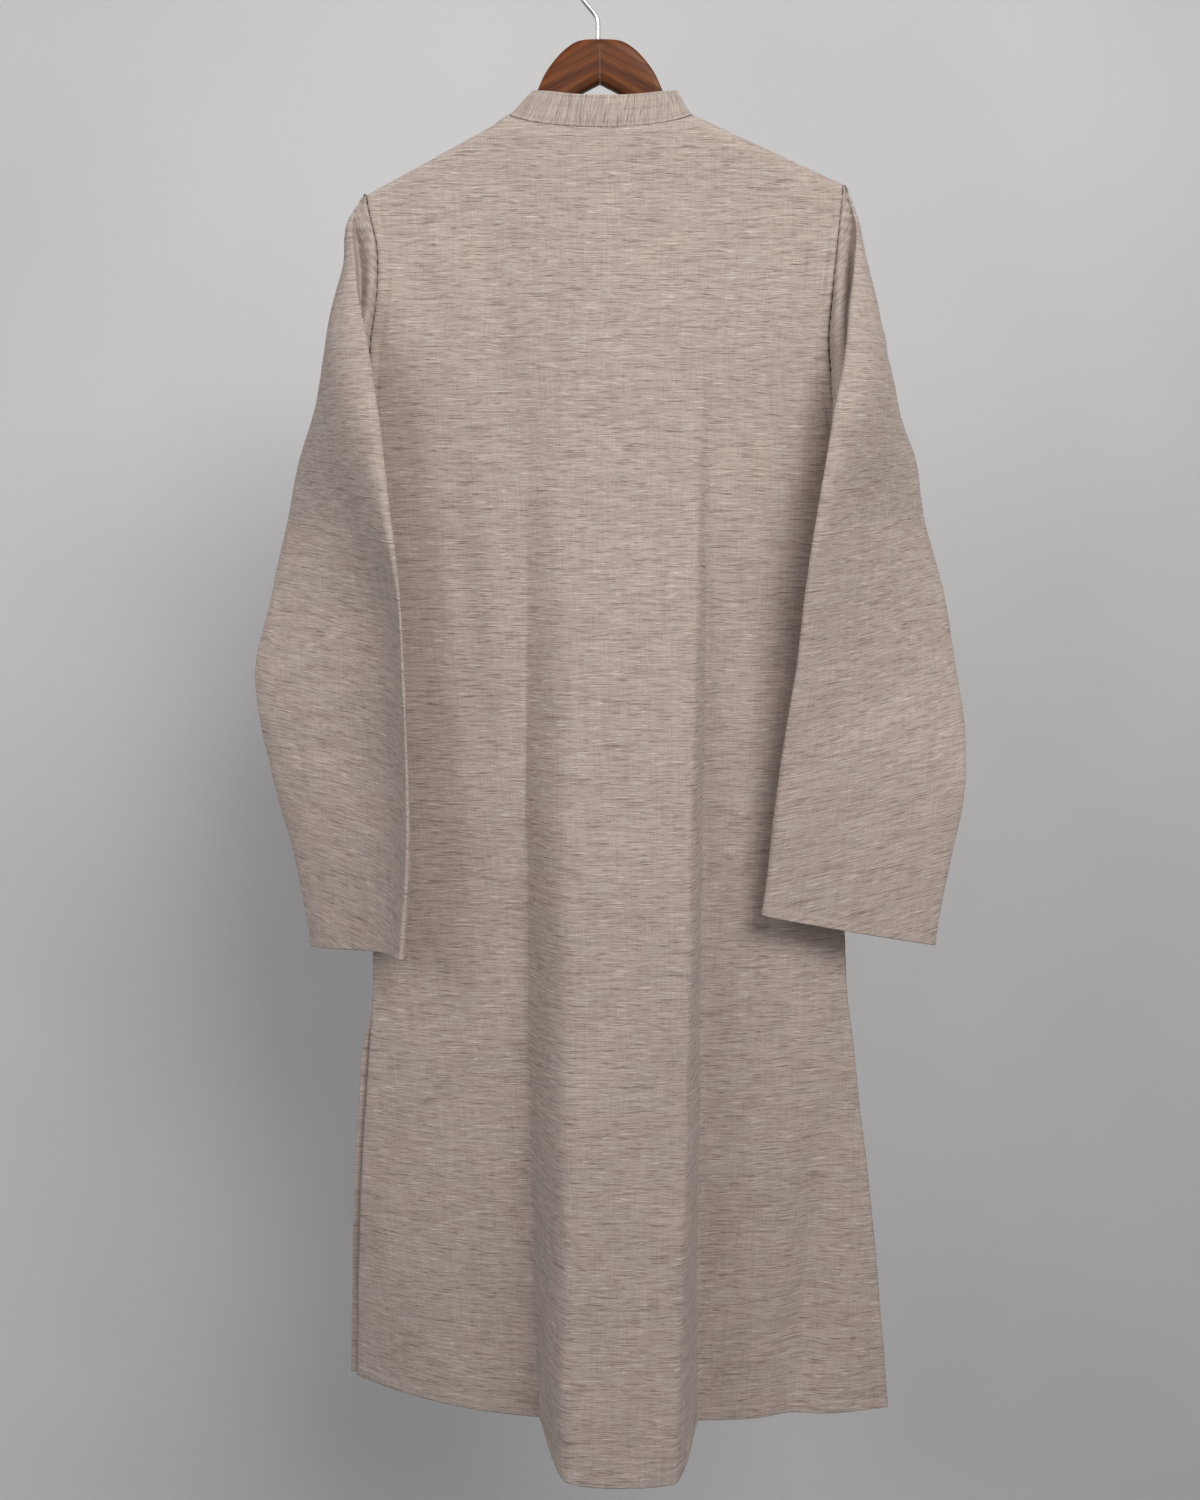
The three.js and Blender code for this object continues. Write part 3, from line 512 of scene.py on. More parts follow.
across_neck = np.linspace(1, -1, 55)
neck_x = NECK_HALF * (0.62 * np.sin(math.pi / 2 * across_neck) + 0.38 * across_neck)
top_x = np.concatenate([
    np.linspace(TIP_LEFT, TIP_LEFT - 12, 9)[:-1], np.linspace(TIP_LEFT - 12, NECK_HALF, 34)[:-1], neck_x,
    np.linspace(-NECK_HALF, TIP_RIGHT + 12, 35)[1:], np.linspace(TIP_RIGHT + 12, TIP_RIGHT, 9)[1:]])
FRACTIONS = fraction_at(top_x)
DROPS = np.concatenate([np.linspace(0, 0.014, 14)[:-1], np.linspace(0.014, 0.986, 270)[:-1],
                        np.linspace(0.986, 1, 13)])
print("a panel has", len(DROPS), "rows and", len(FRACTIONS), "columns of points")

# %% [markdown]
# ### What sewing does to cloth
# A hem is the edge turned in twice and stitched down, so it stands a little proud and the
# stitches pull a fine groove. An armhole seam puckers, because the round sleeve head is
# eased into it. These small heights are added along the cloth's normals.


# %% Seams and hems as heights
HEM_WIDTH, SLIT_HEM_WIDTH, CUFF_WIDTH = 11.0, 11.0, 8.0


def hem_height(distance, width, side=1.0):
    """0.45 mm proud within `width` of the edge, with a stitched groove along its inner line."""
    return side * (0.45 * smooth((width + 0.8 - distance) / 1.6) - 0.4 * bump(distance - width, 1.1))


def puckers(along, distance, pitch, height, reach):
    """Ripples across a seam: a wavering sine along it that dies away within `reach` of it."""
    waver = 0.9 * np.sin(along / 17.0) + 0.6 * np.sin(along / 7.3 + 1.0)
    return height * np.sin(math.tau * along / pitch + waver) * np.exp(-distance / reach)


def panel_relief(face, uv, points, fraction, drop):
    """All the small heights of one panel: wear, seams, slit hems, bottom hem and pocket."""
    u, v = uv[..., 0], uv[..., 1]
    x, z = points[..., 0], points[..., 2]
    width = cloth_width(face, z)
    from_left, from_right = fraction * width, (1 - fraction) * width
    to_hem = (1 - drop) * (top_line(face, x) - HEM_Z)
    side = np.minimum(from_left, from_right)
    above_slit = smooth((z - SLIT_Z + 4) / 8)
    armhole = smooth((z - UNDERARM_Z) / 30)
    height = crumple(u, v, 120, 0.55, 5 + face) + crumple(u, v, 34, 0.10, 15 + face)
    height += armhole * (0.9 * bump(side - 3.2, 2.6) + 0.35 * smooth((8 - side) / 2)
        - 0.6 * bump(side - 8.5, 1.3))
    height += armhole * puckers(z, side, 8.5, 0.75, 11)
    height += above_slit * (1 - armhole) * puckers(z, side, 14, 0.3, 7)
    height += (1 - above_slit) * hem_height(side, SLIT_HEM_WIDTH)
    height += hem_height(to_hem, HEM_WIDTH) + puckers(u, to_hem, 13, 0.25, 9)
    pocket_side = bump(x - 141, 1.6) * smooth((-512 - z) / 8) * smooth((z + 676) / 4)
    pocket_foot = bump(z + 674, 1.6) * smooth((x - 136) / 4) * smooth((162 - x) / 4)
    if face > 0:
        height += 0.5 * np.maximum(pocket_side, pocket_foot)
    return height * smooth(drop / 0.008)


def panel_grid(face):
    """A panel's finished points, its flat places in the cloth and its normals."""
    fraction, drop = FRACTIONS[None, :], DROPS[:, None]
    top = top_line(face, top_x)[None, :]
    hem_x = panel_point(1, fraction, np.full_like(fraction, HEM_Z))[..., 0]
    sag = PLEAT_SAG * back_pleat(hem_x, HEM_Z) * (1 - 0.22 * np.abs((hem_x + 17) / 44) ** 3) * (face > 0)
    z = top - (top - HEM_Z + sag) * drop
    points = panel_point(face, fraction, z)
    uv = np.stack([(fraction - fraction_at(0)) * cloth_width(face, z), z], axis=-1)
    normals = grid_normals(points, face > 0)
    points += normals * panel_relief(face, uv, points, fraction, drop)[..., None]
    return points, uv, normals


back_points, back_uv, back_normals = panel_grid(1)
front_points, front_uv, front_normals = panel_grid(-1)
print("hem of the back is", round(float(lengths(back_points, 1)[-1, -1])), "mm along the cloth")

# %% Back cloth
back_cloth = grid_piece("back_cloth", back_points, back_uv, flip=True, wall=1.5)
back_cloth.data.materials.append(cloth_material)
print(back_cloth.name, len(back_cloth.data.polygons), "cells")

# %% Front cloth, open for the placket
SLOT_BOTTOM, SLOT_HALF = -415, 11
cell_x = (front_points[:-1, :-1, 0] + front_points[1:, 1:, 0]) / 2
cell_z = (front_points[:-1, :-1, 2] + front_points[1:, 1:, 2]) / 2
front_cloth = grid_piece("front_cloth", front_points, front_uv, wall=1.5,
                         keep=(np.abs(cell_x) > SLOT_HALF) | (cell_z < SLOT_BOTTOM))
front_cloth.data.materials.append(cloth_material)
print(front_cloth.name, len(front_cloth.data.polygons), "cells")

# %% [markdown]
# ## Sleeves
# A pressed sleeve is a flattened tube with a fold at its back and one at its front. The
# table gives both folds at a dozen places down the arm, and a loop is drawn round them at
# every step between. Above the underarm the loop is open towards the body, where its two
# ends follow the armhole; the head is eased, so the cloth dips behind the back fold.

# %% Sleeve measurements
NAMES = "step z back_x back_y front_x front_y front_z bow half dip pull sag"
LEFT_SLEEVE = columns(NAMES, [(step, *row) for step, row in enumerate([
    (-183.5, 193.6, 9, 193.6, -9, -183.5, 0.5, 1.6, 0, 1, 0), (-202, 202, 14, 202, -14, -202, 3, 2, 2, 1, 0),
    (-217, 203, 20, 203, -20, -217, 4, 3, 8, 1, 0), (-240, 200, 29, 200, -29, -240, 8, 4, 13, 1, 0),
    (-270, 196, 39, 197, -39, -270, 19, 6, 14, 1, 0), (-306, 188, 49, 196, -52, -306, 31, 7, 10, 1, 0),
    (-345, 181, 57, 223, -66, -340, 26, 8, 4, 1, 0), (-395, 174, 64, 257, -62, -388, 14, 8, 0, 1, 1),
    (-450, 168.5, 69, 272.5, -48, -447, 4, 7, 0, 0.3, 9), (-514, 161, 72, 287, -34, -514, 1, 5.5, 0, 0, 22),
    (-579, 158, 76, 300, -26, -584, 0, 5, 0, 0, 29), (-654, 155.8, 78, 287.5, -26, -663, 0, 5, 0, 0, 28),
    (-728, 156, 80, 268, -28, -743, 0, 6.5, 0, 0, 22), (-806, 161.7, 80, 255, -30, -820, 0, 7, 0, 0, 18)])])
RIGHT_SLEEVE = columns(NAMES, [(step, *row) for step, row in enumerate([
    (-176, -200.4, 9, -200.4, -9, -176, 0.5, 1.6, 0, 1, 0),
    (-195, -206.5, 13, -206.5, -13, -195, 2, 2, 2, 1, 0),
    (-213, -210, 18, -210, -18, -213, 3, 3, 6, 1, 0), (-240, -208, 28, -208, -28, -240, 10, 4, 12, 1, 0),
    (-270, -204, 38, -205, -38, -270, 20, 6, 13, 1, 0), (-306, -199, 47, -207, -50, -306, 29, 7, 10, 1, 0),
    (-345, -192, 56, -236, -60, -340, 25, 8, 4, 1, 0), (-395, -183, 64, -271, -64, -388, 13, 8, 0, 1, 0),
    (-450, -174, 66, -285, -57, -446, 4, 8, 0, 0.3, 0), (-514, -166, 62, -301, -40, -514, 2, 8, 0, 0, 0),
    (-579, -160, 56, -309.5, -20, -583, 0, 8, 0, 0, 0), (-650, -150, 50, -312, 10, -654, 0, 8, 0, 0, 0),
    (-721, -143, 46, -300, 20, -726, 0, 8, 0, 0, 0), (-777, -136, 44, -286, 22, -807, 0, 8, 0, 0, 0)])])
UNDERARM_STEP = 7
ARMHOLE_GAP, UNDERARM_GAP = 0.15, 3.0
FOLD_POWER, KINK = 0.6, 0.32
print("each sleeve is drawn through", len(LEFT_SLEEVE["z"]), "sections")


# %% Sleeve surface
def armhole_point(side, end, z):
    """The place on the body's armhole edge that one end of a sleeve's section meets."""
    at = np.maximum(z, UNDERARM_Z)
    open_half = np.where(z <= UNDERARM_Z, 0, read(SIDES, "open", at) + SEAM_GAP / 2 + CLOTH)
    gap = ARMHOLE_GAP + (UNDERARM_GAP - ARMHOLE_GAP) * smooth((UNDERARM_Z + 60 - z) / 60)
    x = read(SIDES, "left" if side > 0 else "right", at) + side * gap
    return np.stack(np.broadcast_arrays(x, end * open_half, z), axis=-1)


def sleeve_point(table, side, step, turn):
    """A point of the flattened loop: sine of the turn along it, a power of the cosine across it.

    turn is 0 outside the arm, 0.5 at the back fold, -0.5 at the front fold and 1 or -1 on
    the inside, where the loop is drawn to the armhole seam.
    """
    row = {name: read(table, name, step, key="step") for name in table}
    back_fold = np.stack([row["back_x"], row["back_y"], row["z"]], axis=-1)
    front_fold = np.stack([row["front_x"], row["front_y"], row["front_z"]], axis=-1)
    middle, reach = (back_fold + front_fold) / 2, (back_fold - front_fold) / 2
    out = np.stack([reach[..., 1], -reach[..., 0], 0 * reach[..., 0]], axis=-1) * side
    out /= np.linalg.norm(out, axis=-1, keepdims=True)
    cosine, sine = np.cos(math.pi * turn), np.sin(math.pi * turn)
    thick = np.sign(cosine) * np.abs(cosine) ** FOLD_POWER * row["half"] + np.abs(cosine) * row["bow"]
    across = (1 - sine) / 2
    hollow = np.where(across < KINK, np.sin(np.pi / 2 * across / KINK),
        1 - smooth((across - KINK) / (1 - KINK)))
    point = middle + reach * sine[..., None] + out * (thick - row["sag"] * hollow)[..., None]
    inside = np.clip(2 * np.abs(turn) - 1, 0, 1)
    end = np.sign(turn)
    inner_middle = middle + out * (row["bow"] - row["half"])[..., None]
    drag = (armhole_point(side, end, row["z"]) - inner_middle) * (row["pull"] * smooth(inside))[..., None]
    point = point + drag * (inside > 0)[..., None]
    point[..., 1] -= end * 1.35 * row["dip"] * np.sin(math.pi * np.sqrt(inside)) ** 2
    return point


SLEEVE_STEPS = np.concatenate([np.linspace(0, UNDERARM_STEP, 84)[:-1],
    np.linspace(UNDERARM_STEP, 12.86, 112)[:-1],
                               np.linspace(12.86, 13, 10)])
TURNS = np.linspace(1, -1, 121)


# %% Creases in the sleeves
def crease(u, v, at_u, at_v, angle, length, width, height):
    """A straight crease in the cloth: a bell across it and a longer bell along it."""
    c, s = math.cos(math.radians(angle)), math.sin(math.radians(angle))
    along, off = (u - at_u) * c + (v - at_v) * s, (v - at_v) * c - (u - at_u) * s
    return height * bump(along, length) * bump(off, width)


CREASES = {
    1: [(30, -455, -28, 45, 7, 1.6), (22, -490, -20, 38, 6, -1.4), (8, -520, -32, 40, 7, 1.2),
        (38, -430, -40, 34, 6, -1.2), (-20, -560, 18, 34, 8, 0.9), (10, -120, -50, 26, 5, 0.9)],
    -1: [(-20, -590, 4, 30, 3.5, -1.0), (10, -470, 24, 50, 12, 1.2), (20, -440, 30, 46, 9, -1.0),
         (-10, -130, 48, 26, 5, 0.9)],
}


def sleeve_grid(table, side):
    """A sleeve's finished points, flat places and normals, and which rows close into a ring."""
    step, turn = SLEEVE_STEPS[:, None], TURNS[None, :]
    points = sleeve_point(table, side, *np.broadcast_arrays(step, turn))
    closed = SLEEVE_STEPS >= UNDERARM_STEP
    points[closed, -1] = points[closed, 0]
    around = lengths(points, 1)
    middle = len(TURNS) // 2
    u = around - around[:, [middle]]
    down = lengths(points, 0)
    back, front = down[:, [3 * middle // 6]], down[:, [9 * middle // 6]]
    v = -((back + front) / 2 + (back - front) / 2 * np.sin(math.pi * turn))
    past_fold = np.maximum(0, np.abs(u) - np.abs(u[:, [middle // 2]]))
    uv = np.stack([u, v + 0.95 * past_fold * (1 - smooth((-v - 120) / 60))], axis=-1)
    normals = grid_normals(points, side < 0)
    to_cuff = (v - v[-1:]) * 1.0
    from_seam = np.minimum(around, around[:, [-1]] - around) + 400 * closed[:, None]
    height = crumple(u, v, 85, 0.5, 31 + side) + crumple(u, v, 24, 0.10, 41 + side)
    height += sum(crease(u, v, *row) for row in CREASES[side])
    height += puckers(points[..., 2], from_seam, 8.5, 0.9, 14)
    height += hem_height(to_cuff, CUFF_WIDTH) + puckers(u, to_cuff, 11, 0.2, 7)
    from_fold = around - around[:, [middle // 2]]
    height += 1.3 * bump(from_fold, 1.1) * smooth((-v - 25) / 20)
    height -= 0.6 * bump(from_fold - 8.0, 1.2) * smooth((-v - 260) / 60)
    fade = np.minimum(1, np.minimum(from_seam, 6) / 6 + 0.15)
    points += normals * (height * fade)[..., None]
    points[closed, -1] = points[closed, 0]
    return points, uv, normals, closed, to_cuff


sleeves = {}
for side, table, name, node in ((1, LEFT_SLEEVE, "sleeve_cloth_left", "sleeve_left"),
                                (-1, RIGHT_SLEEVE, "sleeve_cloth_right", "sleeve_right")):
    points, uv, normals, closed, to_cuff = sleeve_grid(table, side)
    piece = grid_piece(name, points, uv, flip=side < 0, joined=closed, wall=1.4)
    piece.data.materials.append(cloth_material)
    sleeves[side] = {"piece": piece, "points": points, "normals": normals, "to_cuff": to_cuff, "node": node}
    print(name, len(piece.data.polygons), "cells, cuff", round(float(lengths(points, 1)[-1, -1])), "mm round")

# %% [markdown]
# ## Collar band
# The band is a strip of doubled cloth that stands on the neckline and is open at the front.
# Its foot is the panels' own top edge. A section of the band, a tall thin loop with a round
# top, is carried along that foot. The strip is cut along the warp, so its slubs stand up.

# %% Even path
def even_path(points, pitch, passes=3):
    """The same path with a point every `pitch` millimetres and its corners eased."""
    along = np.concatenate([[0], np.cumsum(np.linalg.norm(np.diff(points, axis=0), axis=1))])
    places = np.linspace(0, along[-1], int(along[-1] / pitch) + 1)
    even = np.stack([np.interp(places, along, points[:, k]) for k in range(3)], axis=-1)
    for _ in range(passes):
        even[1:-1] = (even[:-2] + 2 * even[1:-1] + even[2:]) / 4
    return even, places


COLLAR_HEIGHT, COLLAR_WALL, COLLAR_LEAN, COLLAR_SHIFT, COLLAR_INSET = 25.5, 2.0, 0.85, -4.5, 0.985
END_HALF = 1.6
turn_x = NECK_HALF * np.sin(np.linspace(-math.pi / 2, math.pi / 2, 181))
back_foot = panel_point(1, fraction_at(turn_x), top_line(1, turn_x))
front_foot = panel_point(-1, fraction_at(turn_x), top_line(-1, turn_x))
right_half = front_foot[front_foot[:, 0] < -END_HALF][::-1]
left_half = front_foot[front_foot[:, 0] > END_HALF][::-1]
foot, foot_along = even_path(np.concatenate([right_half, back_foot[1:-1], left_half]), 1.5)
foot_along -= foot_along[-1] / 2
print("neckline is", round(float(foot_along[-1] * 2)), "mm round")


# %% Collar surface
def collar_point(height, depth):
    """A point of the band: up its lean from the foot, then in from its outer face."""
    beside = np.clip(np.abs(foot[:, 0]) / NECK_HALF, 0, 1) ** 3
    lean = np.stack([-np.sign(foot[:, 0]) * COLLAR_LEAN * beside, 0 * beside, 0 * beside + 1], axis=-1)
    lean /= np.linalg.norm(lean, axis=1, keepdims=True)
    point = foot + lean * (height * COLLAR_HEIGHT)
    point[:, 0] = point[:, 0] * COLLAR_INSET + COLLAR_SHIFT * height
    point[:, 2] += 2 * SEAM_GAP
    run = np.gradient(foot, axis=0)
    inward = np.cross(lean, run)
    inward /= np.linalg.norm(inward, axis=1, keepdims=True)
    return point - inward * depth[:, None]


loop_angle = np.linspace(0, math.pi, 9)
loop = np.concatenate([
    np.stack([np.linspace(0, 24.5, 22) / 25.5, 0 * np.linspace(0, 24.5, 22)], axis=-1),
    np.stack([(24.5 + np.sin(loop_angle)) / 25.5, 1 - np.cos(loop_angle)], axis=-1)[1:-1],
    np.stack([np.linspace(24.5, 0, 22) / 25.5, 2 + 0 * np.linspace(0, 24.5, 22)], axis=-1),
    [[0, 1], [0, 0]]])
from_end = np.minimum(foot_along - foot_along[0], foot_along[-1] - foot_along)
closing = np.sqrt(np.clip(1 - (1 - np.clip(from_end / 1.2, 0, 1)) ** 2, 0, 1))
collar_rows = []
for height, depth in loop:
    swell = -0.35 * bump(height * 25.5 - 3.0, 0.9) - 0.25 * bump(height * 25.5 - 22.8, 0.8)
    swell = (swell + puckers(foot_along, height * 25.5, 8.5, 0.35, 7)
        + 0.3 * np.sin(foot_along / 21 + 5 * height))
    wrinkle = -0.7 * bump(height * 25.5 - 14 - 2.0 * np.sin(foot_along / 22), 1.6) * bump(foot_along + 32, 26)
    outside = 1 - depth / 1.0
    collar_rows.append(collar_point(height, 1 + (depth - 1) * closing - outside * (swell + wrinkle)))
collar_points = np.stack(collar_rows, axis=0)
collar_uv = np.stack(np.broadcast_arrays(loop[:, :1] * 25.5 + 40 * (loop[:, 1:] > 1), foot_along[None, :]),
    axis=-1)
collar_cloth = grid_piece("collar_cloth", collar_points, collar_uv, flip=True, ring=True)
collar_cloth.data.materials.append(cloth_material)
print(collar_cloth.name, len(collar_cloth.data.polygons), "cells")

# %% [markdown]
# ## Placket and buttons
# The front opens to the middle of the chest. Two bands close it: the upper one carries the
# buttonholes and shows, the under one carries the buttons. Both follow the front's own
# surface, one a wall outside it and one a wall inside it.

# %% Placket bands
PLACKET_HALF, PLACKET_BOTTOM = 16, -430
band_top = float(top_line(-1, np.zeros(1))[0]) - 2.5


def placket_band(name, stand):
    """A strip of the front's surface, moved out by `stand`, with edges that turn in."""
    z = np.linspace(band_top, PLACKET_BOTTOM, 118)[:, None]
    across = np.linspace(1, -1, 33)[None, :]
    x, z = np.broadcast_arrays(PLACKET_HALF * across, z)
    to_edge = np.minimum(PLACKET_HALF - np.abs(x), z - PLACKET_BOTTOM)
    y = panel_depth(-1, x, z) - stand - CLOTH
    y = y + 1.1 * (1 - np.sqrt(np.clip(1 - (1 - np.clip(to_edge / 1.2, 0, 1)) ** 2, 0, 1)))
    y = y + 0.3 * bump(to_edge - 2.6, 0.8) - puckers(z, PLACKET_HALF - np.abs(x), 12, 0.2, 5)
    piece = grid_piece(name, np.stack([x, y, z], axis=-1), np.stack([-z, x], axis=-1), wall=1.3)
    piece.data.materials.append(cloth_material)
    return piece


placket_upper = placket_band("placket_cloth_upper", SEAM_GAP * 2)
placket_under = placket_band("placket_cloth_under", -CLOTH * 2 - 0.6)
print("placket bands run from", round(band_top), "to", PLACKET_BOTTOM, "mm")

# %% Button material
button_material, m, shader = new_material("brown button")
place = m.node("ShaderNodeTexCoord").outputs["Object"]
swirl = m.noise(place, (3.2, 3.2, 1.4), detail=3, seed=5.0)
cloudy = m.mix(m.step(swirl, 0.35, 0.68), (0.13, 0.075, 0.045, 1), (0.36, 0.25, 0.17, 1))
tone = m.node("ShaderNodeGroup", node_tree=tone_group)
m.fill(tone, {"Vector": place, "Color": cloudy, "Amount": 0.7})
finish_surface(m, shader, tone.outputs["Color"], swirl, 0.2, 0.05)
shader.inputs["Roughness"].default_value = 0.32
shader.inputs["Coat Weight"].default_value = 0.25
print("material:", button_material.name)

# %% Buttons
BUTTON_R, BUTTON_T, BUTTON_LEVELS = 5.5, 2.4, (-226, -292, -358)
HOLES = [(1.15, 1.15), (-1.15, 1.15), (-1.15, -1.15), (1.15, -1.15)]


def button_piece(name, level):
    """A disc turned about Y: flat back, rounded rim, dished face with four holes sunk in it."""
    outline = np.array([(0, 0), (2.4, 0), (4.6, 0), (5.2, 0.25), (5.5, 0.8), (5.5, 1.6), (5.25, 2.15),
        (4.8, 2.4),
                        (4.2, 2.38), (3.8, 2.1), (3.5, 1.75), *[(r, 1.7) for r in np.arange(3.3, 0.1, -0.14)],
                        (0, 1.7)])
    angle = np.linspace(0, math.tau, 73)
    r, h = outline[:, :1], outline[:, 1:]
    x, z = r * np.cos(angle), r * np.sin(angle)
    sunk = sum(smooth((0.62 - np.hypot(x - a, z - b)) / 0.25) for a, b in HOLES)
    front = panel_depth(-1, np.zeros(1), np.full(1, level))[0] - CLOTH - 3 * SEAM_GAP - 0.7
    y = front - (h - 1.1 * sunk * (h > 1.6) * (r < 3.4))
    points = np.stack([x, y, z + level], axis=-1)
    points[:, -1] = points[:, 0]
    piece = grid_piece(name, points, np.stack([x, z], axis=-1), flip=False,
                       joined=np.ones(len(outline), bool))
    piece.data.materials.append(button_material)
    return piece, front - 1.7


buttons = [button_piece(f"button_face_{k + 1}", level) for k, level in enumerate(BUTTON_LEVELS)]
print("buttons at", BUTTON_LEVELS)

# %% [markdown]
# ## Stitching
# Every hem and band edge is held by a row of lockstitches, three millimetres apart. One
# stitch is a small spindle with only eight faces; all of them are placed at once, each
# turned by the direction of its row and the cloth's normal.

# %% Stitch rows
STITCH_PITCH, STITCH_LONG, STITCH_WIDE = 3.0, 2.3, 0.5
stitch_frames = []


def stitch_row(points, normals, lift=0.05, pitch=STITCH_PITCH):
    """Places stitches along a line on the cloth: an even pitch measured along the line."""
    along = np.concatenate([[0], np.cumsum(np.linalg.norm(np.diff(points, axis=0), axis=1))])
    places = np.arange(pitch / 2, along[-1], pitch)
    middle = np.stack([np.interp(places, along, points[:, k]) for k in range(3)], axis=-1)
    normal = np.stack([np.interp(places, along, normals[:, k]) for k in range(3)], axis=-1)
    ahead = np.stack([np.interp(places + 0.5, along, points[:, k]) for k in range(3)], axis=-1) - middle
    ahead /= np.linalg.norm(ahead, axis=1, keepdims=True) + 1e-9
    normal -= ahead * (normal * ahead).sum(axis=1, keepdims=True)
    normal /= np.linalg.norm(normal, axis=1, keepdims=True) + 1e-9
    stitch_frames.append(np.stack([ahead, np.cross(normal, ahead), normal, middle + normal * lift], axis=1))


def panel_rows(face, points, normals, hem_from_edge, slit_from_edge):
    """The stitch rows of a panel: one above the hem and one beside each slit."""
    rows, cols = np.arange(len(DROPS)), np.arange(len(FRACTIONS))
    tall = top_line(face, top_x) - HEM_Z
    row = np.interp(1 - hem_from_edge / tall, DROPS, rows)
    inner = (FRACTIONS > 0.02) & (FRACTIONS < 0.98)
    stitch_row(sample(points, row, cols * 1.0)[inner], sample(normals, row, cols * 1.0)[inner])
    for end in (0, 1):
        z = points[:, 0 if end == 0 else -1, 2]
        slit = rows[(z < SLIT_Z) & (z > HEM_Z + 8)]
        share = slit_from_edge / cloth_width(face, z[slit])
        col = np.interp(share if end == 0 else 1 - share, FRACTIONS, cols)
        stitch_row(sample(points, slit * 1.0, col), sample(normals, slit * 1.0, col))


panel_rows(1, back_points, back_normals, HEM_WIDTH, SLIT_HEM_WIDTH)
panel_rows(-1, front_points, front_normals, HEM_WIDTH, SLIT_HEM_WIDTH)
for sleeve in sleeves.values():
    rows = np.arange(len(SLEEVE_STEPS)) * 1.0
    down = sleeve["to_cuff"][:, ::4]
    row = np.array([np.interp(-CUFF_WIDTH, -down[:, k], rows) for k in range(down.shape[1])])
    col = np.arange(0, len(TURNS), 4) * 1.0
    stitch_row(sample(sleeve["points"], row, col), sample(sleeve["normals"], row, col))
print(sum(len(rows) for rows in stitch_frames), "stitches in the hems")

# %% Stitches of the collar and placket
collar_normals = grid_normals(collar_points, True)
for loop_row in (3, 20):
    stitch_row(collar_points[loop_row], collar_normals[loop_row])
for edge in (1, -1):
    z = np.linspace(band_top - 3, PLACKET_BOTTOM + 3, 60)
    x = np.full(60, edge * (PLACKET_HALF - 2.6))
    line = np.stack([x, panel_depth(-1, x, z) - SEAM_GAP * 2 - CLOTH, z], axis=-1)
    stitch_row(line, np.tile([0.0, -1.0, 0.0], (60, 1)))
for z_line in (PLACKET_BOTTOM + 3, PLACKET_BOTTOM + 20):
    x = np.linspace(PLACKET_HALF - 2.6, 2.6 - PLACKET_HALF, 12)
    z = np.full(12, float(z_line))
    line = np.stack([x, panel_depth(-1, x, z) - SEAM_GAP * 2 - CLOTH, z], axis=-1)
    stitch_row(line, np.tile([0.0, -1.0, 0.0], (12, 1)))

frames = np.concatenate(stitch_frames)
spindle = np.array([(0.5, 0, 0), (-0.5, 0, 0), (0, 0.5, 0), (0, -0.5, 0), (0, 0, 0.5), (0, 0, -0.5)])
spindle = spindle * (STITCH_LONG, STITCH_WIDE, 0.45)
corners = np.einsum("kc,ncx->nkx", spindle, frames[:, :3]) + frames[:, None, 3]
eight = np.array([(0, 2, 4), (2, 1, 4), (1, 3, 4), (3, 0, 4), (2, 0, 5), (1, 2, 5), (3, 1, 5), (0, 3, 5)])
faces = (eight[None] + 6 * np.arange(len(frames))[:, None, None]).reshape(-1, 3)
mesh = bpy.data.meshes.new("stitching")
mesh.from_pydata((corners.reshape(-1, 3) * MM).tolist(), [], faces.tolist())
mesh.polygons.foreach_set("use_smooth", np.ones(len(faces), bool))
stitching = bpy.data.objects.new("stitching", mesh)
scene.collection.objects.link(stitching)
print(stitching.name, len(frames), "stitches,", len(faces), "faces")

# %% Thread material
thread_material, m, shader = new_material("beige thread")
place = m.node("ShaderNodeTexCoord").outputs["Object"]
ply = m.noise(place, (0.5, 0.5, 0.5), detail=1, seed=8.0)
spun = m.mix(m.step(ply, 0.3, 0.7), (0.42, 0.34, 0.29, 1), (0.62, 0.53, 0.46, 1))
tone = m.node("ShaderNodeGroup", node_tree=tone_group)
m.fill(tone, {"Vector": place, "Color": spun, "Amount": 0.8})
finish_surface(m, shader, tone.outputs["Color"], ply, 0.5, 0.1)
shader.inputs["Roughness"].default_value = 0.8
stitching.data.materials.append(thread_material)
print("material:", thread_material.name)

# %% [markdown]
# ## Wooden hanger
# The hanger is cut from two boards that meet in the middle, so its grain runs down and out
# on both sides like a chevron. Each arm is a rounded section carried from the middle to the
# shoulder; its upper line makes the round hump that shows above the collar, and its lower
# line starts with a small notch.

# %% Hanger arms
ARM = columns("x top low half", [
    (0.12, -58, -92.7, 6), (12, -58.5, -98.6, 6), (19, -60, -102.4, 6), (26, -64, -107, 6),
    (33, -70, -112, 6),
    (40, -78, -118, 6), (46, -87, -121, 6), (51, -98, -125, 5.8), (56, -109, -128, 5.5),
    (64, -118, -133, 5.2),
    (78, -124, -141, 5.2), (110, -141, -159, 5.8), (150, -162.5, -180, 6), (176, -177, -193, 5.8),
    (184, -183, -195.5, 4.4), (188, -187, -195, 2.4)])


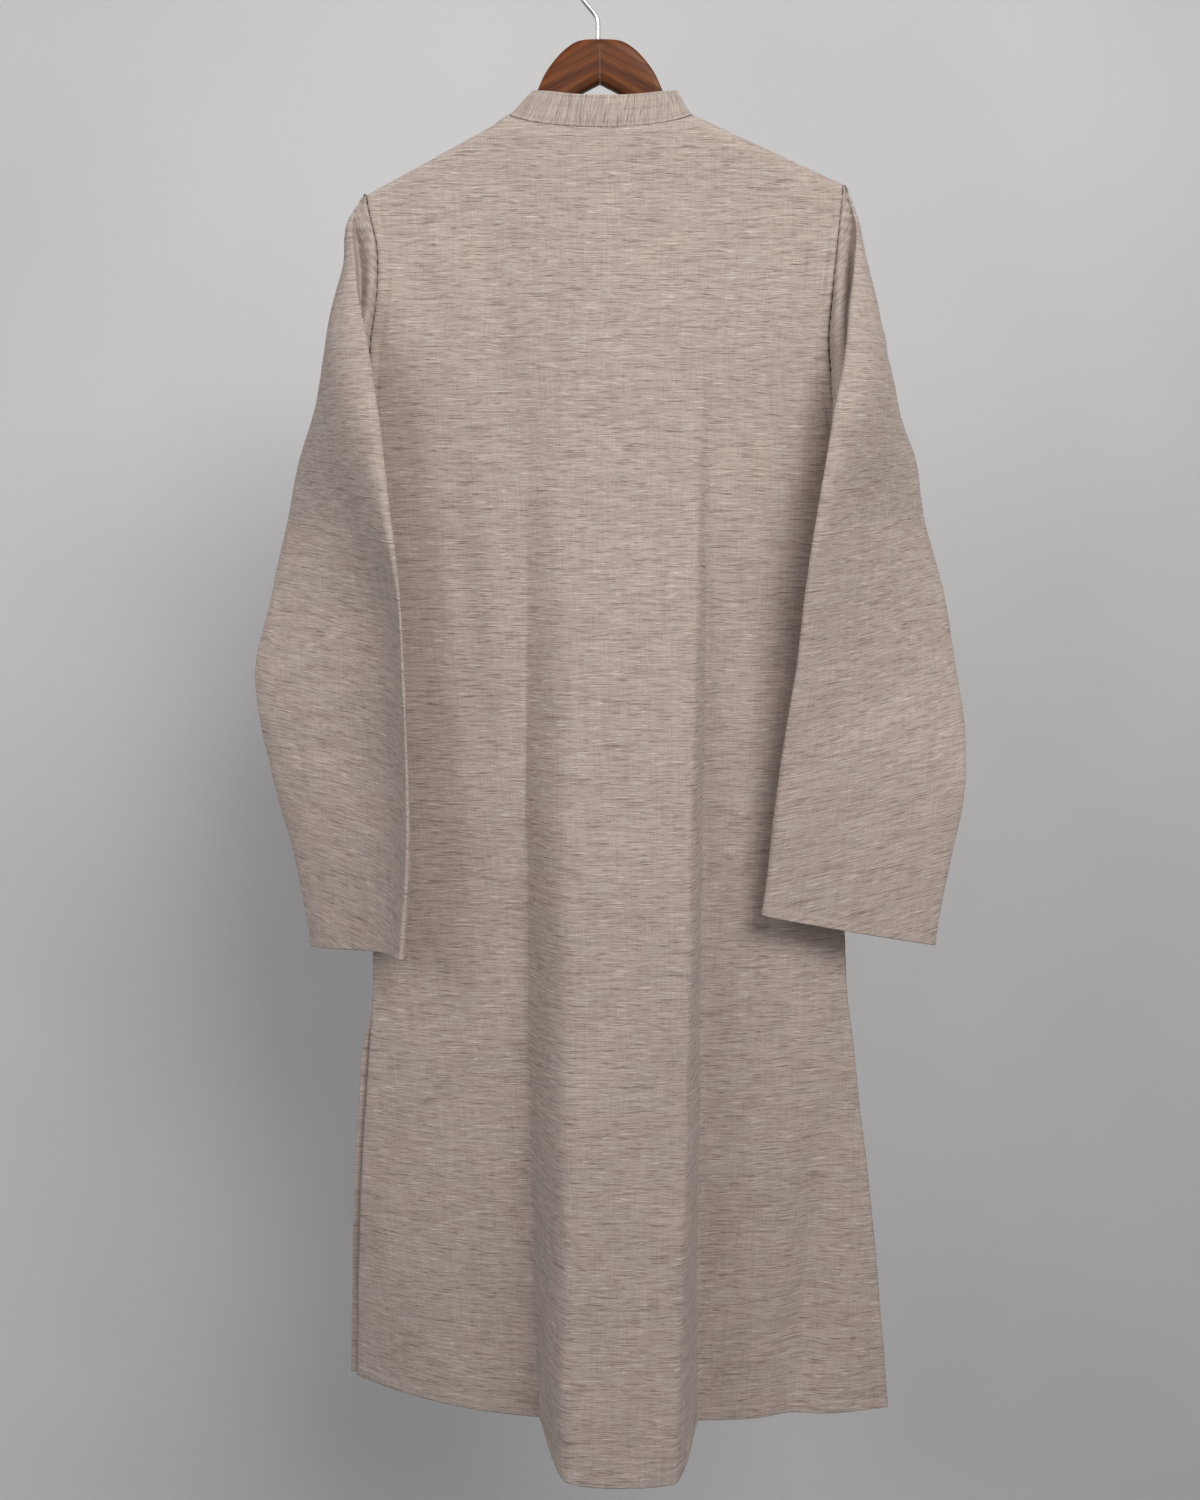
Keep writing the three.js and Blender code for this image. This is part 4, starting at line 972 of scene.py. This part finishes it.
def arm_piece(name, side):
    """A rounded section, cosine and sine to the power 0.45, carried along the arm; both ends close."""
    stations = np.concatenate([[0.04, 0.04, 0.05, 0.08], np.linspace(0.8, 60, 90), np.linspace(61, 184, 62),
                               [185.5, 186.8, 187.6, 188, 188, 188]])
    size = np.concatenate([[0, 0.6, 0.995, 1], np.ones(90 + 62), [1, 1, 1, 0.9, 0.5, 0]])
    x = stations[:, None]
    angle = np.linspace(0, math.tau, 57)[None, :]
    c, s = np.cos(angle), np.sin(angle)
    top, low, half = (read(ARM, column, x, key="x") for column in ("top", "low", "half"))
    lift = (SLOPE_LEFT - SLOPE_RIGHT) * np.maximum(0, x - NECK_HALF) if side < 0 else 0
    y = half * np.sign(c) * np.abs(c) ** 0.45 * size[:, None]
    z = (top + low) / 2 + (top - low) / 2 * np.sign(s) * np.abs(s) ** 0.45 * size[:, None] + lift
    points = np.stack(np.broadcast_arrays(side * x, y, z), axis=-1)
    points[:, -1] = points[:, 0]
    piece = grid_piece(name, points, points[..., ::2], flip=side < 0, joined=np.ones(len(stations), bool))
    piece.data.materials.append(wood_material)
    return piece


# %% Wood and steel materials
wood_material, m, shader = new_material("varnished wood")
place = m.node("ShaderNodeTexCoord").outputs["Object"]
apart = m.node("ShaderNodeSeparateXYZ", {0: place})
mirrored = m.node("ShaderNodeCombineXYZ", {"X": m.math("ABSOLUTE", apart.outputs["X"]),
    "Y": apart.outputs["Y"],
                                           "Z": apart.outputs["Z"]}).outputs[0]
grain_place = m.node("ShaderNodeMapping",
    {"Vector": mirrored, "Rotation": (0, math.radians(-29), 0)}).outputs[0]
rings = m.noise(grain_place, (90, 6, 5.5), detail=3, roughness=0.55, seed=4.0)
fibres = m.noise(grain_place, (22, 1.2, 0.7), detail=3, roughness=0.65, seed=11.0)
pores = m.noise(grain_place, (7, 0.6, 0.32), detail=1, roughness=0.5, seed=19.0)
wood_tone = m.mix(m.step(rings, 0.34, 0.68), (0.078, 0.022, 0.006, 1), (0.185, 0.057, 0.015, 1))
wood_tone = m.mix(1.0, wood_tone, m.mix(m.step(fibres, 0.3, 0.7), (0.80, 0.78, 0.76, 1),
    (1.16, 1.16, 1.16, 1)), "MULTIPLY")
wood_tone = m.mix(m.math("MULTIPLY", m.step(pores, 0.62, 0.74), 0.55), wood_tone, (0.05, 0.017, 0.009, 1))
tone = m.node("ShaderNodeGroup", node_tree=tone_group)
m.fill(tone, {"Vector": place, "Color": wood_tone, "Amount": 1.0})
finish_surface(m, shader, tone.outputs["Color"], fibres, 0.25, 0.12)
m.tree.links.new(m.step(rings, 0.3, 0.7, 0.52, 0.42), shader.inputs["Roughness"])
shader.inputs["Specular IOR Level"].default_value = 0.18
shader.inputs["Coat Weight"].default_value = 0.03
shader.inputs["Coat Roughness"].default_value = 0.25

steel_material, m, shader = new_material("steel wire")
place = m.node("ShaderNodeTexCoord").outputs["Object"]
drawn = m.noise(place, (0.5, 0.5, 14), detail=2, seed=6.0)
steel_tone = m.mix(m.step(drawn, 0.3, 0.7), (0.56, 0.56, 0.58, 1), (0.74, 0.74, 0.75, 1))
tone = m.node("ShaderNodeGroup", node_tree=tone_group)
m.fill(tone, {"Vector": place, "Color": steel_tone, "Amount": 0.6})
finish_surface(m, shader, tone.outputs["Color"], drawn, 0.1, 0.02)
m.tree.links.new(m.step(drawn, 0.3, 0.7, 0.17, 0.27), shader.inputs["Roughness"])
shader.inputs["Metallic"].default_value = 1
print("materials:", wood_material.name, "and", steel_material.name)

# %% Both arms
hanger_left, hanger_right = arm_piece("hanger_wood_left", 1), arm_piece("hanger_wood_right", -1)
print("hanger arms reach 188 mm to each side")

# %% [markdown]
# ## Hook
# The hook is one steel wire: a short stem from the wood, a straight lean, and a bend round
# the rail. A circle is carried along that line and rounded off at the open end.

# %% Hook wire
WIRE_R, BEND_R, STEM_X, LEAN, HOOK_END = 1.9, 17.7, 1.6, 49, 205
bend_angle = np.radians(np.linspace(LEAN - 90, HOOK_END, 61))
bend_line = np.stack([BEND_R * np.cos(bend_angle), 0 * bend_angle,
    WIRE_R - BEND_R + BEND_R * np.sin(bend_angle)], axis=-1)
stem_line = np.array([(STEM_X, 0, z) for z in np.linspace(-62, -41, 15)])
wire_line, wire_along = even_path(np.concatenate([stem_line, bend_line]), 1.0, passes=14)
run = np.gradient(wire_line, axis=0)
run /= np.linalg.norm(run, axis=1, keepdims=True)
aside = np.stack([run[:, 2], 0 * run[:, 0], -run[:, 0]], axis=-1)
angle = np.linspace(0, math.tau, 25)
to_end = np.minimum(wire_along, wire_along[-1] - wire_along)
radius = WIRE_R * np.sqrt(np.clip(1 - (1 - np.clip(to_end / WIRE_R, 0, 1)) ** 2, 0, 1))
wire_points = (wire_line[:, None] + radius[:, None, None] * (
    np.cos(angle)[None, :, None] * aside[:, None] + np.sin(angle)[None, :, None] * np.array([0.0, 1.0, 0.0])))
wire_points[:, -1] = wire_points[:, 0]
wire_uv = np.stack(np.broadcast_arrays(angle[None, :] * WIRE_R, wire_along[:, None]), axis=-1)
hook_steel = grid_piece("hook_steel", wire_points, wire_uv, flip=False, joined=np.ones(len(wire_line), bool))
hook_steel.data.materials.append(steel_material)
print("the wire is", round(float(wire_along[-1])), "mm long")

# %% [markdown]
# ## Wall and floor
# A painted wall stands close behind, and a pale floor far below. Neither is part of the
# kurta. The wall's back is clear, so that a camera behind it still sees the front.


# %% Wall and floor
def stage_sheet(name, corners_m, material):
    """One flat rectangle of the studio, in metres."""
    mesh = bpy.data.meshes.new(name)
    mesh.from_pydata(corners_m, [], [(0, 1, 2, 3)])
    mesh.materials.append(material)
    sheet = bpy.data.objects.new(name, mesh)
    scene.collection.objects.link(sheet)
    return sheet


wall_material, m, shader = new_material("painted wall")
place = m.node("ShaderNodeTexCoord").outputs["Object"]
roller = m.noise(place, (2.5, 2.5, 2.5), detail=3, seed=2.0)
drift = m.noise(place, (420, 420, 420), detail=2, seed=9.0)
paint = m.mix(m.step(drift, 0.3, 0.7), (0.655, 0.65, 0.66, 1), (0.695, 0.69, 0.70, 1))
finish_surface(m, shader, paint, roller, 0.12, 0.2)
shader.inputs["Roughness"].default_value = 0.9
clear = m.node("ShaderNodeBsdfTransparent")
from_behind = m.node("ShaderNodeNewGeometry").outputs["Backfacing"]
either = m.node("ShaderNodeMixShader", {0: from_behind, 1: shader.outputs["BSDF"], 2: clear.outputs["BSDF"]})
m.tree.links.new(either.outputs[0], m.tree.nodes["Material Output"].inputs["Surface"])

floor_material, m, shader = new_material("pale floor")
place = m.node("ShaderNodeTexCoord").outputs["Object"]
finish_surface(m, shader, m.mix(m.noise(place, (500, 500, 500), seed=3.0), (0.60, 0.60, 0.60, 1),
    (0.66, 0.655, 0.65, 1)),
               m.noise(place, (3, 3, 3)), 0.1, 0.2)
shader.inputs["Roughness"].default_value = 0.8
WALL_Y, FLOOR_Z = -0.5, -1.95
wall = stage_sheet("wall", [(5, WALL_Y, FLOOR_Z), (-5, WALL_Y, FLOOR_Z), (-5, WALL_Y, 2.6), (5, WALL_Y, 2.6)],
                   wall_material)
floor = stage_sheet("floor", [(5, WALL_Y, FLOOR_Z), (5, 7, FLOOR_Z), (-5, 7, FLOOR_Z), (-5, WALL_Y, FLOOR_Z)],
                    floor_material)
front_floor = stage_sheet("front_floor", [(5, -7, FLOOR_Z), (5, WALL_Y, FLOOR_Z), (-5, WALL_Y, FLOOR_Z),
                                          (-5, -7, FLOOR_Z)], floor_material)
print("wall at", WALL_Y, "m, floor at", FLOOR_Z, "m")

# %% [markdown]
# ## What each piece stands for
# Every new piece rides on the frame's one body, and each piece that stands for a solid of the frame hides
# that solid.

# %% Ride and replace
PIECES = [
    (back_cloth, "cloth", "back_panel"), (front_cloth, "cloth", "front_panel"),
    (sleeves[1]["piece"], "cloth", "sleeve_left"), (sleeves[-1]["piece"], "cloth", "sleeve_right"),
    (collar_cloth, "cloth", "collar_band"), (placket_upper, "cloth", "placket_upper"),
    (placket_under, "cloth", "placket_under"), (stitching, "cloth", None),
    (hanger_left, "wood", "hanger_arm_left"), (hanger_right, "wood", "hanger_arm_right"),
    (hook_steel, "steel", "hook_wire"),
    *[(button[0], "button", f"button_{k + 1}") for k, button in enumerate(buttons)],
]
for piece, slot, node in PIECES:
    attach(piece, "root")
    if node:
        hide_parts(node)
print(len(PIECES), "pieces ride on the frame")

# %% End of the pieces
print("all pieces are built")
